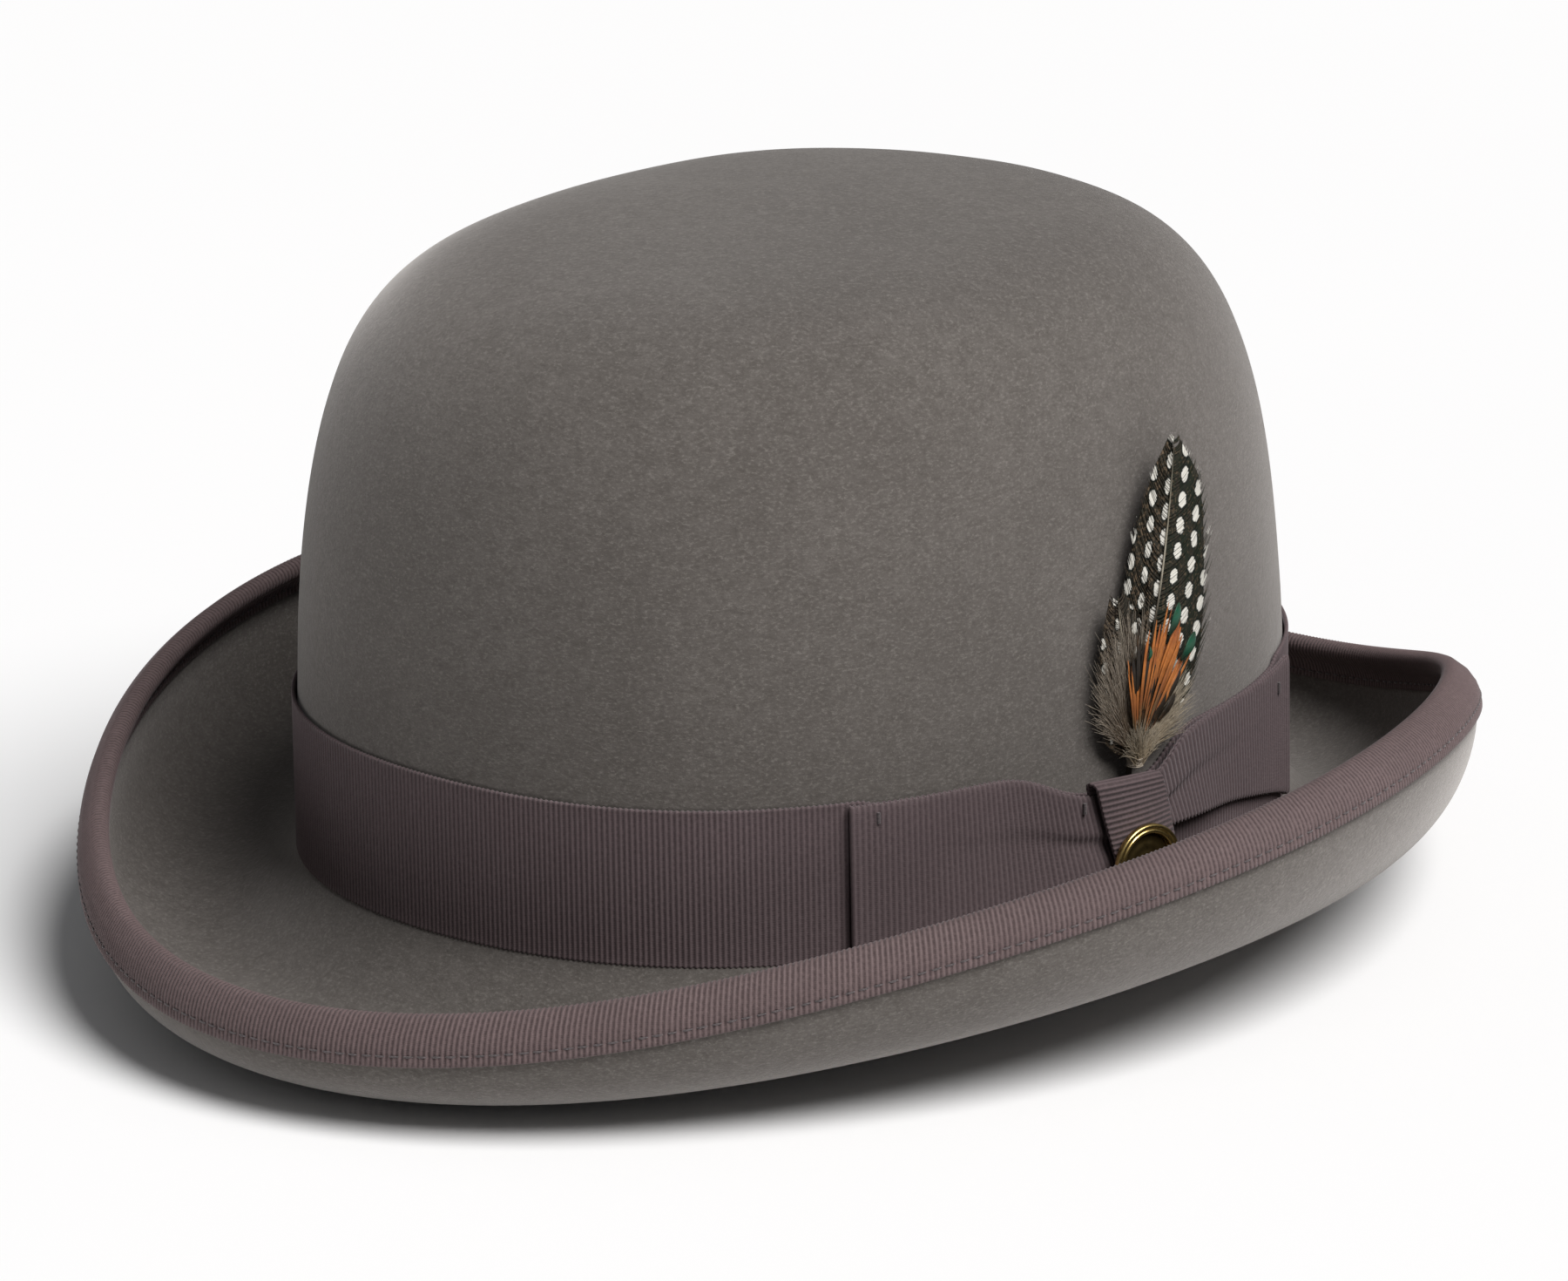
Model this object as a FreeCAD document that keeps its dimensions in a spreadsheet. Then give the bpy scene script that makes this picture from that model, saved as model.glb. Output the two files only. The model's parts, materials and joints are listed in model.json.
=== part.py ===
"""Bowler hat: felt body, bound brim, ribbon band with flat bow, feather, brass pin,
sweatband and lining.

Frame: millimetres, +Z up.  The hat stands on the undersides of its front and back brim
at Z = 0.  The origin is under the centre of the brim, +Y points to the back of the hat
and +X to the wearer's left, where the bow is.
"""
import FreeCAD, Part
import Sketcher
import math
import os

V = FreeCAD.Vector
TURN = 2 * math.pi

DIMENSIONS = {
    # crown and its oval plan, an ellipse with fuller corners, outside the hat band
    "oval_half_width": 88.0, "oval_half_length": 104.0, "oval_fullness": 0.039,
    "crown_setback": 4.74, "band_level": 21.5,
    "crown_height": 115.5, "cap_rise": 7.3, "shoulder_power": 7.9, "crown_power": 2.74,
    "felt_thickness": 2.6, "felt_inset": 0.8, "corner_drop": 0.6, "corner_reach": 2.6,
    "brim_break": 3.0,
    # edge of the brim (top of the binding), seen from above and from the side
    "edge_half_width": 127.5, "edge_half_length": 148.8, "edge_fullness": -0.033,
    "edge_mean": 16.85, "edge_side_rise": 13.48, "edge_quarter": -1.24,
    "edge_rear_lift": 3.65, "edge_ripple": -0.95,
    # curl of the brim: its lowest line, where that lies, and the bulge outside the edge
    "curl_depth": 12.4, "curl_depth_side": -9.1, "curl_depth_rear": -1.16,
    "curl_place": 0.58, "curl_place_side": 0.14,
    "bulge_reach": 6.84, "bulge_reach_side": 0.95, "bulge_reach_rear": 0.76,
    "bulge_drop": 8.14, "bulge_drop_side": -1.08,
    # ribbons
    "binding_thickness": 0.65, "binding_half_width": 10.3, "binding_stitch_inset": 2.0,
    "thread_radius": 0.22, "fit_gap": 0.12,
    "band_height": 31.6, "band_thickness": 0.7,
    "wing_thickness": 1.1, "wing_stand_off": 2.9, "wing_seat": 0.15, "wing_settle": 14.0,
    "front_wing_end": 37.1, "rear_wing_end": 34.6, "tack_radius": 0.35, "tack_length": 2.2,
    "knot_width": 18.3, "knot_height": 22.4, "knot_front": 5.0, "knot_back": 1.85,
    "knot_ribbon": 0.6, "knot_tilt": 17.0, "knot_skew": 1.1, "knot_side": -3.3,
    "knot_level": 14.6,
    # sweatband and lining, as insets from the oval
    "sweatband_inset": 6.1, "sweatband_thickness": 1.0, "sweatband_height": 50.0,
    "sweatband_drop": 1.6, "reed_radius": 1.0, "lining_gap": 0.45,
    "lining_thickness": 0.3, "piping_radius": 0.6, "tail_bow_half_length": 13.0,
    "tail_bow_depth": 4.2, "tail_bow_width": 4.5, "tail_bow_ribbon": 0.5, "tail_bow_gap": 0.9,
    "label_width": 16.0, "label_height": 11.0, "label_thickness": 0.25, "label_gap": 0.85,
    # feather and pin
    "quill_radius": 0.6, "quill_lean": 8.0, "quill_foot": 12.0, "quill_top": 26.6,
    "quill_side": -2.0, "quill_seat": 0.95, "vane_thickness": 0.6, "tie_radius": 1.9,
    "tie_height": 1.8, "tie_seat": 0.35, "plume_gap": 0.42,
    "pin_radius": 8.0, "pin_depth": 2.2, "pin_stand_off": 6.7, "pin_side": -4.9,
    "pin_level": 8.8, "pin_yaw": 10.0, "post_radius": 0.75, "post_length": 11.8,
    "post_clearance": 0.3, "clutch_radius": 2.4, "clutch_depth": 0.8,
}

doc = FreeCAD.newDocument("bowler_hat")
sheet = doc.addObject("Spreadsheet::Sheet", "sheet")
for row, (alias, value) in enumerate(DIMENSIONS.items(), start=1):
    sheet.set(f"A{row}", alias)
    sheet.set(f"B{row}", str(value))
    sheet.setAlias(f"B{row}", alias)
doc.recompute()


def size(alias):
    """A driving dimension, read back from the spreadsheet."""
    return float(sheet.get(alias))


# ------------------------------------------------------------------ plan and sections

def full_ellipse(theta, half_x, half_y, fullness):
    """Point of an ellipse whose corners are pushed out by a share of the radius."""
    swell = 1 + fullness * math.sin(2 * theta) ** 2
    return half_x * math.cos(theta) * swell, half_y * math.sin(theta) * swell


def oval(theta, inset, level):
    """Point on the crown's oval, moved in by inset, at a height above the band's foot."""
    across, along = full_ellipse(theta, size("oval_half_width") - inset,
                                 size("oval_half_length") - inset, size("oval_fullness"))
    return V(across, along + size("crown_setback"), level + size("band_level"))


def rear_wave(theta):
    """Zero at front and back, opposite in the front and rear quarters."""
    return math.sin(theta) + math.sin(3 * theta)


def brim_shape(theta):
    """Edge height, curl depth, place of the lowest line, bulge reach and bulge drop."""
    side, rear = math.cos(2 * theta), rear_wave(theta)
    ripple = (math.sin(5 * theta) + math.sin(3 * theta)) / 2
    edge = (size("edge_mean") + size("edge_side_rise") * side
            + size("edge_quarter") * math.cos(4 * theta)
            + size("edge_rear_lift") * rear + size("edge_ripple") * ripple)
    depth = (size("curl_depth") + size("curl_depth_side") * side
             + size("curl_depth_rear") * rear)
    place = size("curl_place") + size("curl_place_side") * side
    reach = (size("bulge_reach") + size("bulge_reach_side") * side
             + size("bulge_reach_rear") * rear)
    drop = size("bulge_drop") + size("bulge_drop_side") * side
    return edge, depth, place, reach, drop


def section_frame(theta):
    """Wall point, its distance from the crown's centre, edge point and brim width."""
    wall = oval(theta, size("felt_inset"), 0)
    across, along = full_ellipse(theta, size("edge_half_width"),
                                 size("edge_half_length"), size("edge_fullness"))
    edge = V(across, along, wall.z)
    centre = V(0, size("crown_setback"), wall.z)
    return centre, wall, edge


def in_space(theta, reach, level):
    """A section point: reach outward from the crown's wall, level above the band's foot."""
    centre, wall, edge = section_frame(theta)
    if reach < 0:
        point = wall + (wall - centre) * (reach / (wall - centre).Length)
    else:
        point = wall + (edge - wall) * (reach / (edge - wall).Length)
    return V(point.x, point.y, point.z + level)


def dome(share, thickness):
    """Height of the crown's middle surface at a share of its radius."""
    wave = math.sqrt(max(0.0, 1 - share ** size("shoulder_power")))
    return ((size("crown_height") - thickness / 2) * wave ** (2 / size("crown_power"))
            + size("cap_rise") * (1 - share ** 2))


CAP_SHARES = (0, 0.16, 0.32, 0.48, 0.62, 0.74, 0.83, 0.895)
WALL_LEVELS = (88, 76, 63, 50, 37, 24, 13, 6.5)


def wall_share(level):
    """Share of the radius at which the crown's side reaches a level."""
    wave = (level / size("crown_height")) ** (size("crown_power") / 2)
    return (1 - wave ** 2) ** (1 / size("shoulder_power"))


def crown_path(theta, shares, levels):
    """Middle of the crown's felt, at shares of its radius and then at levels."""
    thickness = size("felt_thickness")
    centre, wall, edge_point = section_frame(theta)
    radius = (wall - centre).Length
    path = [(share * (radius - thickness / 2) - radius, dome(share, thickness))
            for share in shares]
    return path + [(wall_share(level) * (radius - thickness / 2) - radius, level)
                   for level in levels]


def middle_path(theta, brim_steps):
    """Middle of the felt from the crown's top to the brim's edge, as (reach, level)."""
    thickness = size("felt_thickness")
    centre, wall, edge_point = section_frame(theta)
    width = (edge_point - wall).Length
    edge, depth, place, reach, drop = brim_shape(theta)
    path = crown_path(theta, CAP_SHARES, WALL_LEVELS)
    # rounded corner from the wall into the brim
    corner = -size("corner_drop") - thickness / 2
    low_reach, low_level = place * width, thickness / 2 - depth
    start = size("corner_reach") / low_reach

    def slope(share):
        return (share * low_reach,
                corner + (low_level - corner) * (1 - (1 - share) ** 2))

    above = (-thickness / 2, corner + size("corner_reach"))
    turn, below = (-thickness / 2, corner), slope(start)
    for share in (0, 1 / 3, 2 / 3):
        path.append(tuple((1 - share) ** 2 * a + 2 * share * (1 - share) * b + share ** 2 * c
                          for a, b, c in zip(above, turn, below)))
    for step in range(brim_steps):
        path.append(slope(start + (1 - start) * step / brim_steps))
    # curl: a quarter ellipse out to the bulge, then in towards the edge
    lip = thickness / 2 + size("binding_thickness")
    bulge_reach, bulge_level = width + reach - lip, edge - drop
    for step in range(brim_steps):
        angle = math.pi / 2 * step / brim_steps
        path.append((low_reach + (bulge_reach - low_reach) * math.sin(angle),
                     bulge_level + (low_level - bulge_level) * math.cos(angle)))
    for step in range(brim_steps):
        angle = math.radians(70) * step / (brim_steps - 1)
        path.append((width + (reach - lip) * math.cos(angle),
                     bulge_level + (drop - lip) * math.sin(angle)))
    return path


def normals(path):
    """Unit normals of a path, to its upper, outer side."""
    result = []
    for index in range(len(path)):
        before, after = path[max(index - 1, 0)], path[min(index + 1, len(path) - 1)]
        run, rise = after[0] - before[0], after[1] - before[1]
        length = math.hypot(run, rise)
        result.append((-rise / length, run / length))
    return result


def shifted(path, directions, distance):
    return [(p[0] + n[0] * distance, p[1] + n[1] * distance)
            for p, n in zip(path, directions)]


def end_cap(path, directions, distance, angles):
    """Points around the end of a path, turning from one side to the other."""
    (reach, level), (side_reach, side_level) = path[-1], directions[-1]
    ahead = (side_level, -side_reach)
    return [(reach + distance * (side_reach * math.cos(a) + ahead[0] * math.sin(a)),
             level + distance * (side_level * math.cos(a) + ahead[1] * math.sin(a)))
            for a in (math.radians(angle) for angle in angles)]


# ------------------------------------------------------------------ surfaces

def around(count):
    """Angles around the hat, starting at the back."""
    return [TURN * (0.25 + step / count) for step in range(count)]


def corrected(ring):
    """Poles of a periodic cubic curve that passes close to the points of a ring."""
    count = len(ring)
    return [ring[i] + (ring[i] * 2 - ring[i - 1] - ring[(i + 1) % count]) * (1 / 6)
            for i in range(count)]


def transpose(rows):
    return [list(column) for column in zip(*rows)]


def solid_from(surface):
    solid = Part.Solid(Part.Shell([surface.toShape()]))
    if solid.Volume < 0:
        solid.reverse()
    return solid


def ring_solid(section, count):
    """Closed ring whose section at each angle is a closed loop of points."""
    rows = [corrected(section(theta)) for theta in around(count)]
    rows = transpose([corrected(column) for column in transpose(rows)])
    surface = Part.BSplineSurface()
    surface.buildFromPolesMultsKnots(
        rows, [1] * (count + 1), [1] * (len(rows[0]) + 1), list(range(count + 1)),
        list(range(len(rows[0]) + 1)), True, True, 3, 3)
    return solid_from(surface)


def flat_sided_ring(section, count):
    """Closed ring with one ruled face along each side of its polygonal section."""
    edges = []
    for corner in transpose([section(theta) for theta in around(count)]):
        curve = Part.BSplineCurve()
        curve.interpolate(Points=corner, PeriodicFlag=True)
        edges.append(curve.toShape())
    shell = Part.Shell([Part.makeRuledSurface(first, second)
                        for first, second in zip(edges, edges[1:] + edges[:1])])
    shell.sewShape()
    solid = Part.Solid(shell)
    if solid.Volume < 0:
        solid.reverse()
    return solid


def capped_solid(section, count):
    """Closed solid whose sections all start at one pole and end at another."""
    reference = section(0)
    lengths = [0.0]
    for first, second in zip(reference, reference[1:]):
        lengths.append(lengths[-1] + math.sqrt((second - first).Length))
    rows = []
    for theta in around(count):
        curve = Part.BSplineCurve()
        curve.interpolate(Points=section(theta), Parameters=lengths)
        rows.append(curve.getPoles())
    knots, multiplicities = curve.getKnots(), curve.getMultiplicities()
    rows = transpose([corrected(column) for column in transpose(rows)])
    surface = Part.BSplineSurface()
    surface.buildFromPolesMultsKnots(
        rows, [1] * (count + 1), multiplicities, list(range(count + 1)), knots,
        True, False, 3, 3)
    return solid_from(surface)


def feature(label, shape, placement=None):
    """A sub-part whose free-form shape comes from Part's own functions."""
    item = doc.addObject("Part::Feature", label)
    item.Label = label
    item.Shape = shape
    if placement:
        item.Placement = placement
    return item


def pin_placement(offset):
    """On the pin's axis, an offset in front of its back plane; local Z points out."""
    yaw = math.radians(size("pin_yaw"))
    out = V(math.cos(yaw), -math.sin(yaw), 0)
    seat = V(size("oval_half_width") + size("pin_stand_off"),
             size("crown_setback") + size("pin_side"),
             size("band_level") + size("pin_level"))
    return FreeCAD.Placement(seat + out * offset, FreeCAD.Rotation(V(0, 0, 1), out))


def pin_hole():
    """Clearance around the pin's post."""
    hole = Part.makeCylinder(size("post_radius") + size("post_clearance"),
                             size("post_length") + 4)
    hole.Placement = pin_placement(-size("post_length") - 2)
    return hole


def pierced(label, body):
    """A finished body, with the post's clearance hole cut through it."""
    tool = doc.addObject("Part::Feature", label + "_hole")
    tool.Shape = pin_hole()
    cut = doc.addObject("Part::Cut", label)
    cut.Label = label
    cut.Base, cut.Tool = body, tool
    return cut


# ------------------------------------------------------------------ felt and binding

def crown_prism():
    """Oval prism that holds the whole crown above the break into the brim."""
    plan = oval_curve(size("felt_inset") / 2).toShape()
    foot = V(0, 0, size("band_level") + size("brim_break"))
    return Part.Face(Part.Wire(plan.translated(foot))).extrude(
        V(0, 0, size("crown_height") + 2 * size("cap_rise")))


def felt_crown_and_brim():
    """One blocked felt hood, as two regions that meet behind the hat band."""
    half = size("felt_thickness") / 2

    def section(theta):
        path = middle_path(theta, 6)
        directions = normals(path)
        directions[0] = (0, 1)
        outline = (shifted(path, directions, half)
                   + end_cap(path, directions, half, (45, 90, 135))
                   + shifted(path, directions, -half)[::-1])
        return [in_space(theta, reach, level) for reach, level in outline]

    hood = capped_solid(section, 72)
    return [feature("felt_crown", hood.common(crown_prism()).cut(pin_hole())),
            feature("felt_brim", hood.cut(crown_prism()))]


def edge_strip(theta, steps, length):
    """Last stretch of the felt's middle path, as evenly spaced points up to the edge."""
    path = middle_path(theta, 16)[::-1]
    points, spacing = [path[0]], length / steps
    walked, target = 0.0, spacing
    for first, second in zip(path, path[1:]):
        piece = math.hypot(second[0] - first[0], second[1] - first[1])
        while walked + piece >= target and len(points) <= steps:
            share = (target - walked) / piece
            points.append((first[0] + (second[0] - first[0]) * share,
                           first[1] + (second[1] - first[1]) * share))
            target += spacing
        walked += piece
    points = points[::-1]
    return points, normals(points)


def binding_length():
    """Stretch of the felt that the folded ribbon covers, behind the rounded edge."""
    lip = size("felt_thickness") / 2 + size("binding_thickness")
    return size("binding_half_width") - lip * math.radians(70)


def brim_binding():
    """Grosgrain ribbon folded over the brim's edge."""
    inner = size("felt_thickness") / 2 + size("fit_gap")
    outer = inner + size("binding_thickness")
    angles = (30, 60, 90, 120, 150)

    def section(theta):
        points, directions = edge_strip(theta, 5, binding_length())
        outside = (shifted(points, directions, outer)
                   + end_cap(points, directions, outer, angles)
                   + shifted(points, directions, -outer)[::-1])
        inside = (shifted(points, directions, inner)
                  + end_cap(points, directions, inner, angles)
                  + shifted(points, directions, -inner)[::-1])
        return [in_space(theta, reach, level) for reach, level in outside + inside[::-1]]

    return feature("brim_binding", ring_solid(section, 72))


TUBE_POINTS, THREAD_SIDES = 18, 6


def tube_section(theta, reach, level, radius, sides=TUBE_POINTS):
    return [in_space(theta, reach + radius * math.cos(a), level + radius * math.sin(a))
            for a in (TURN * step / sides for step in range(sides))]


def binding_thread():
    """Machine stitching along the binding's free edge."""
    offset = (size("felt_thickness") / 2 + 2 * size("fit_gap")
              + size("binding_thickness") + size("thread_radius"))

    def section(theta):
        points, directions = edge_strip(
            theta, 5, binding_length() - size("binding_stitch_inset"))
        reach, level = shifted(points, directions, -offset)[0]
        return tube_section(theta, reach, level, size("thread_radius"), THREAD_SIDES)

    return feature("binding_thread", flat_sided_ring(section, 96))


# ------------------------------------------------------------------ straight-sided rings

def oval_curve(inset):
    curve = Part.BSplineCurve()
    points = [oval(theta, inset, 0) for theta in around(64)]
    curve.interpolate(Points=[V(p.x, p.y, 0) for p in points], PeriodicFlag=True)
    return curve


def base_plane(body, role):
    return next(item for item in body.Origin.OriginFeatures if item.Role == role)


def sketch_on(body, role, name):
    sketch = body.newObject("Sketcher::SketchObject", name)
    sketch.AttachmentSupport = [(base_plane(body, role), "")]
    sketch.MapMode = "FlatFace"
    return sketch


def new_body(label, placement=None):
    body = doc.addObject("PartDesign::Body", label)
    body.Label = label
    if placement:
        body.Placement = placement
    return body


def pad_sketch(body, sketch, length, symmetric=False):
    pad = body.newObject("PartDesign::Pad", body.Label + "_pad")
    pad.Profile = sketch
    pad.setExpression("Length", length)
    pad.Midplane = symmetric
    body.Tip = pad
    return pad


def oval_strip(label, inset, thickness, height, level):
    """Upright ring of ribbon or leather around the crown's oval."""
    body = new_body(label, FreeCAD.Placement(
        V(0, 0, size("band_level") + level), FreeCAD.Rotation()))
    sketch = sketch_on(body, "XY_Plane", label + "_plan")
    for curve_inset in (inset, inset + thickness):
        sketch.addGeometry(oval_curve(curve_inset), False)
    doc.recompute()
    pad_sketch(body, sketch, height)
    return body


def hat_band():
    """Grosgrain ribbon around the foot of the crown."""
    strip = oval_strip("hat_band_strip", 0, size("band_thickness"), "sheet.band_height", 0)
    return pierced("hat_band", strip)


def sweatband():
    """Leather strip that touches the head."""
    return oval_strip("sweatband", size("sweatband_inset"), size("sweatband_thickness"),
                      "sheet.sweatband_height", -size("sweatband_drop"))


def oval_tube(label, inset, level, radius, count):
    """Round cord along the crown's oval."""
    def section(theta):
        return [oval(theta, inset + radius * math.cos(a), level + radius * math.sin(a))
                for a in (TURN * step / TUBE_POINTS for step in range(TUBE_POINTS))]

    return feature(label, ring_solid(section, count))


def sweatband_reed():
    """Cord inside the folded foot of the sweatband."""
    return oval_tube("sweatband_reed",
                     size("sweatband_inset") + size("sweatband_thickness") / 2,
                     -size("sweatband_drop") - size("reed_radius") - size("fit_gap"),
                     size("reed_radius"), 64)


def upright(theta):
    """Rotation whose X axis points out of the crown and Y axis along the oval."""
    step = 0.002
    along = oval(theta + step, 0, 0) - oval(theta - step, 0, 0)
    along.normalize()
    out = V(along.y, -along.x, 0)
    return FreeCAD.Rotation(out, along, V(0, 0, 1), "ZXY")


def sweatband_stitches():
    """Hand stitches that hold the sweatband's foot to the felt."""
    count, length, radius, level = 60, 3.2, 0.3, 1.2
    inset = size("sweatband_inset") + size("sweatband_thickness") + radius + 0.02
    stitches = []
    for step in range(count):
        theta = TURN * (step + 0.5) / count
        turn = upright(theta)
        along = turn.multVec(V(0, 1, 0))
        foot = oval(theta, inset, level) - along * (length / 2)
        stitches.append(Part.makeCylinder(radius, length, foot, along))
    return feature("sweatband_stitches", Part.makeCompound(stitches))


def sweatband_bow():
    """Two ribbon loops over the sweatband's seam at the back."""
    half, depth = size("tail_bow_half_length"), size("tail_bow_depth")
    back = oval(math.pi / 2, size("sweatband_inset") + size("sweatband_thickness"), 3)
    body = new_body("sweatband_bow", FreeCAD.Placement(
        V(0, back.y - depth / 2 - size("tail_bow_gap"), back.z), FreeCAD.Rotation()))
    sketch = sketch_on(body, "XY_Plane", "tail_bow_plan")
    for inset in (0, size("tail_bow_ribbon")):
        radius = depth / 2 - inset
        for side in (1, -1):
            start = -side * math.pi / 2
            centre = V(side * (half - depth / 2), 0, 0)
            sketch.addGeometry(Part.ArcOfCircle(
                Part.Circle(centre, V(0, 0, 1), radius), start, start + math.pi), False)
            sketch.addGeometry(Part.LineSegment(
                V(-centre.x, radius, 0) * side, V(centre.x, radius, 0) * side), False)
    doc.recompute()
    pad_sketch(body, sketch, "sheet.tail_bow_width")
    return body


def sweatband_bow_knot():
    """Ribbon keeper on the face of the small bow."""
    back = oval(math.pi / 2, size("sweatband_inset") + size("sweatband_thickness"), 3)
    knot = doc.addObject("Part::Box", "sweatband_bow_knot")
    knot.Label = "sweatband_bow_knot"
    knot.setExpression("Length", "sheet.tail_bow_width")
    knot.setExpression("Width", "sheet.tail_bow_ribbon")
    knot.setExpression("Height", "sheet.tail_bow_width")
    face = back.y - size("tail_bow_gap") - size("tail_bow_depth")
    knot.Placement = FreeCAD.Placement(
        V(-size("tail_bow_width") / 2, face - size("tail_bow_ribbon") - size("fit_gap") / 5,
          back.z), FreeCAD.Rotation())
    return knot


TIP_SHARES = (0, 0.15, 0.3, 0.45, 0.58, 0.68, 0.755)
SIDE_SHARES = (0.79, 0.84, 0.895)
SIDE_LEVELS = (88, 76, 63, 50, 37, 24, 14)


def lining_loop(theta, shares, levels):
    """Both faces of the satin, just inside the felt."""
    path = crown_path(theta, shares, levels)
    directions = normals(path)
    if shares[0] == 0:
        directions[0] = (0, 1)
    outer = size("felt_thickness") / 2 + size("lining_gap")
    outline = (shifted(path, directions, -outer)
               + shifted(path, directions, -outer - size("lining_thickness"))[::-1])
    return [in_space(theta, reach, level) for reach, level in outline]


def lining_side():
    """Satin strip around the inside of the crown."""
    return feature("lining_side", ring_solid(
        lambda theta: lining_loop(theta, SIDE_SHARES, SIDE_LEVELS), 64))


def lining_tip():
    """Oval satin top of the lining."""
    return feature("lining_tip", capped_solid(
        lambda theta: lining_loop(theta, TIP_SHARES, ()), 64))


def lining_piping():
    """Corded seam between the lining's top and side."""
    radius = size("piping_radius")
    seam = (TIP_SHARES[-1] + SIDE_SHARES[0]) / 2

    def section(theta):
        path = crown_path(theta, (seam - 0.01, seam, seam + 0.01), ())
        inner = size("felt_thickness") / 2 + size("lining_gap") + radius
        reach, level = shifted(path, normals(path), -inner)[1]
        return tube_section(theta, reach, level, radius)

    return feature("lining_piping", ring_solid(section, 64))


def size_label():
    """Blank paper tab between the lining and the sweatband, at the front."""
    label = doc.addObject("Part::Box", "size_label")
    label.Label = "size_label"
    label.setExpression("Length", "sheet.label_width")
    label.setExpression("Width", "sheet.label_thickness")
    label.setExpression("Height", "sheet.label_height")
    front = oval(-math.pi / 2, size("sweatband_inset"), 22)
    label.Placement = FreeCAD.Placement(
        V(-size("label_width") / 2, front.y - size("label_gap") - size("label_thickness"),
          front.z), FreeCAD.Rotation())
    return label


# ------------------------------------------------------------------ bow

def wing_stand_off(angle):
    """Gap behind a wing: wide at the knot, nearly closed at the wing's end."""
    swell = size("wing_stand_off") - size("wing_seat")
    return size("wing_seat") + swell * math.exp(-(angle / size("wing_settle")) ** 4)


def wing(label, first, last, foot, top, stations=9):
    """Folded ribbon wing over the band, gathered towards the knot."""
    sections = []
    for step in range(stations):
        angle = first + (last - first) * step / (stations - 1)
        theta = math.radians(angle)
        stand_off = wing_stand_off(angle)
        spread = abs(angle / last)
        corners = [oval(theta, -stand_off, foot(spread)),
                   oval(theta, -stand_off - size("wing_thickness"), foot(spread)),
                   oval(theta, -stand_off - size("wing_thickness"), top(spread)),
                   oval(theta, -stand_off, top(spread))]
        sections.append(Part.makePolygon(corners + corners[:1]))
    return feature(label, Part.makeLoft(sections, True, False))


def gather(spread, power):
    """One at the knot, falling to zero at the wing's end."""
    return math.cos(spread * math.pi / 2) ** power


def pulled_down(spread, reach, power):
    """One at the knot, falling to zero beyond a share of the wing's length."""
    return math.exp(-(spread / reach) ** power)


def bow_front_wing():
    ribbon = wing("bow_front_wing_ribbon", -0.2, -size("front_wing_end"),
                  lambda spread: 0.9 + 4.6 * gather(spread, 1.7),
                  lambda spread: 31.2 - 7.8 * pulled_down(spread, 0.36, 4))
    return pierced("bow_front_wing", ribbon)


def bow_rear_wing():
    return wing("bow_rear_wing", 0.2, size("rear_wing_end"),
                lambda spread: 1.6 + 11.0 * gather(spread, 0.8),
                lambda spread: 30.5 - 7.0 * pulled_down(spread, 0.2, 3))


def knot_block(inset):
    """Leaning block, higher at its front edge; inset shrinks it in section."""
    lean, skew = math.tan(math.radians(size("knot_tilt"))), size("knot_skew")
    near = size("oval_half_width") + size("knot_back") + inset / 2
    far = size("oval_half_width") + size("knot_front") - inset
    half = size("knot_height") / 2 - inset
    ends = []
    for side in (-1, 1):
        corners = []
        for reach, rise in ((near, -half), (far, -half), (far, half - side * skew),
                            (near, half - side * skew)):
            along = side * (size("knot_width") / 2 + inset / 100) - rise * lean
            corners.append(V(reach, size("crown_setback") + size("knot_side") + along,
                             size("band_level") + size("knot_level") + rise))
        ends.append(Part.makePolygon(corners + corners[:1]))
    return Part.makeLoft(ends, True, True)


def bow_knot():
    """Ribbon wrapped around the middle of the bow, pierced by the pin's post."""
    wrap = knot_block(0).cut(knot_block(size("knot_ribbon")))
    return feature("bow_knot", wrap.cut(pin_hole()))


def bow_tack_stitches():
    """Hand stitches that hold the bow's corners and its gathers."""
    radius = size("tack_radius")
    stitches = []
    for angle, level in ((-34.3, 29.6), (-9.5, 23.2), (30.4, 27.4)):
        lift = wing_stand_off(angle) + size("wing_thickness") + size("fit_gap") + radius
        stitches.append(Part.makeCylinder(
            radius, size("tack_length"), oval(math.radians(angle), -lift, level), V(0, 0, -1)))
    return feature("bow_tack_stitches", Part.makeCompound(stitches))


# ------------------------------------------------------------------ feather

def feather_origin():
    """Where the plume leaves the bow, on the band's outer face."""
    return V(size("oval_half_width"), size("crown_setback") + size("quill_side"),
             size("band_level") + size("quill_top"))


def feather_quills():
    """Bundle of trimmed quills tucked down between the bow and the band."""
    lean = FreeCAD.Rotation(V(1, 0, 0), -size("quill_lean"))
    quills = doc.addObject("Part::Cone", "feather_quills")
    quills.Label = "feather_quills"
    quills.setExpression("Radius1", "sheet.quill_radius * 0.6")
    quills.setExpression("Radius2", "sheet.quill_radius")
    quills.setExpression("Height", "sheet.quill_top - sheet.quill_foot")
    length = size("quill_top") - size("quill_foot")
    start = feather_origin() + V(size("quill_seat"), 0, 0) + lean.multVec(V(0, 0, -length))
    quills.Placement = FreeCAD.Placement(start, lean)
    return quills


def feather_tie():
    """Wrapped thread that holds the plume together."""
    tie = doc.addObject("Part::Cylinder", "feather_tie")
    tie.Label = "feather_tie"
    tie.setExpression("Radius", "sheet.tie_radius")
    tie.setExpression("Height", "sheet.tie_height")
    tie.Placement = FreeCAD.Placement(
        feather_origin() + V(size("tie_radius") + size("tie_seat"), 0, size("fit_gap") / 2),
        FreeCAD.Rotation())
    return tie


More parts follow.
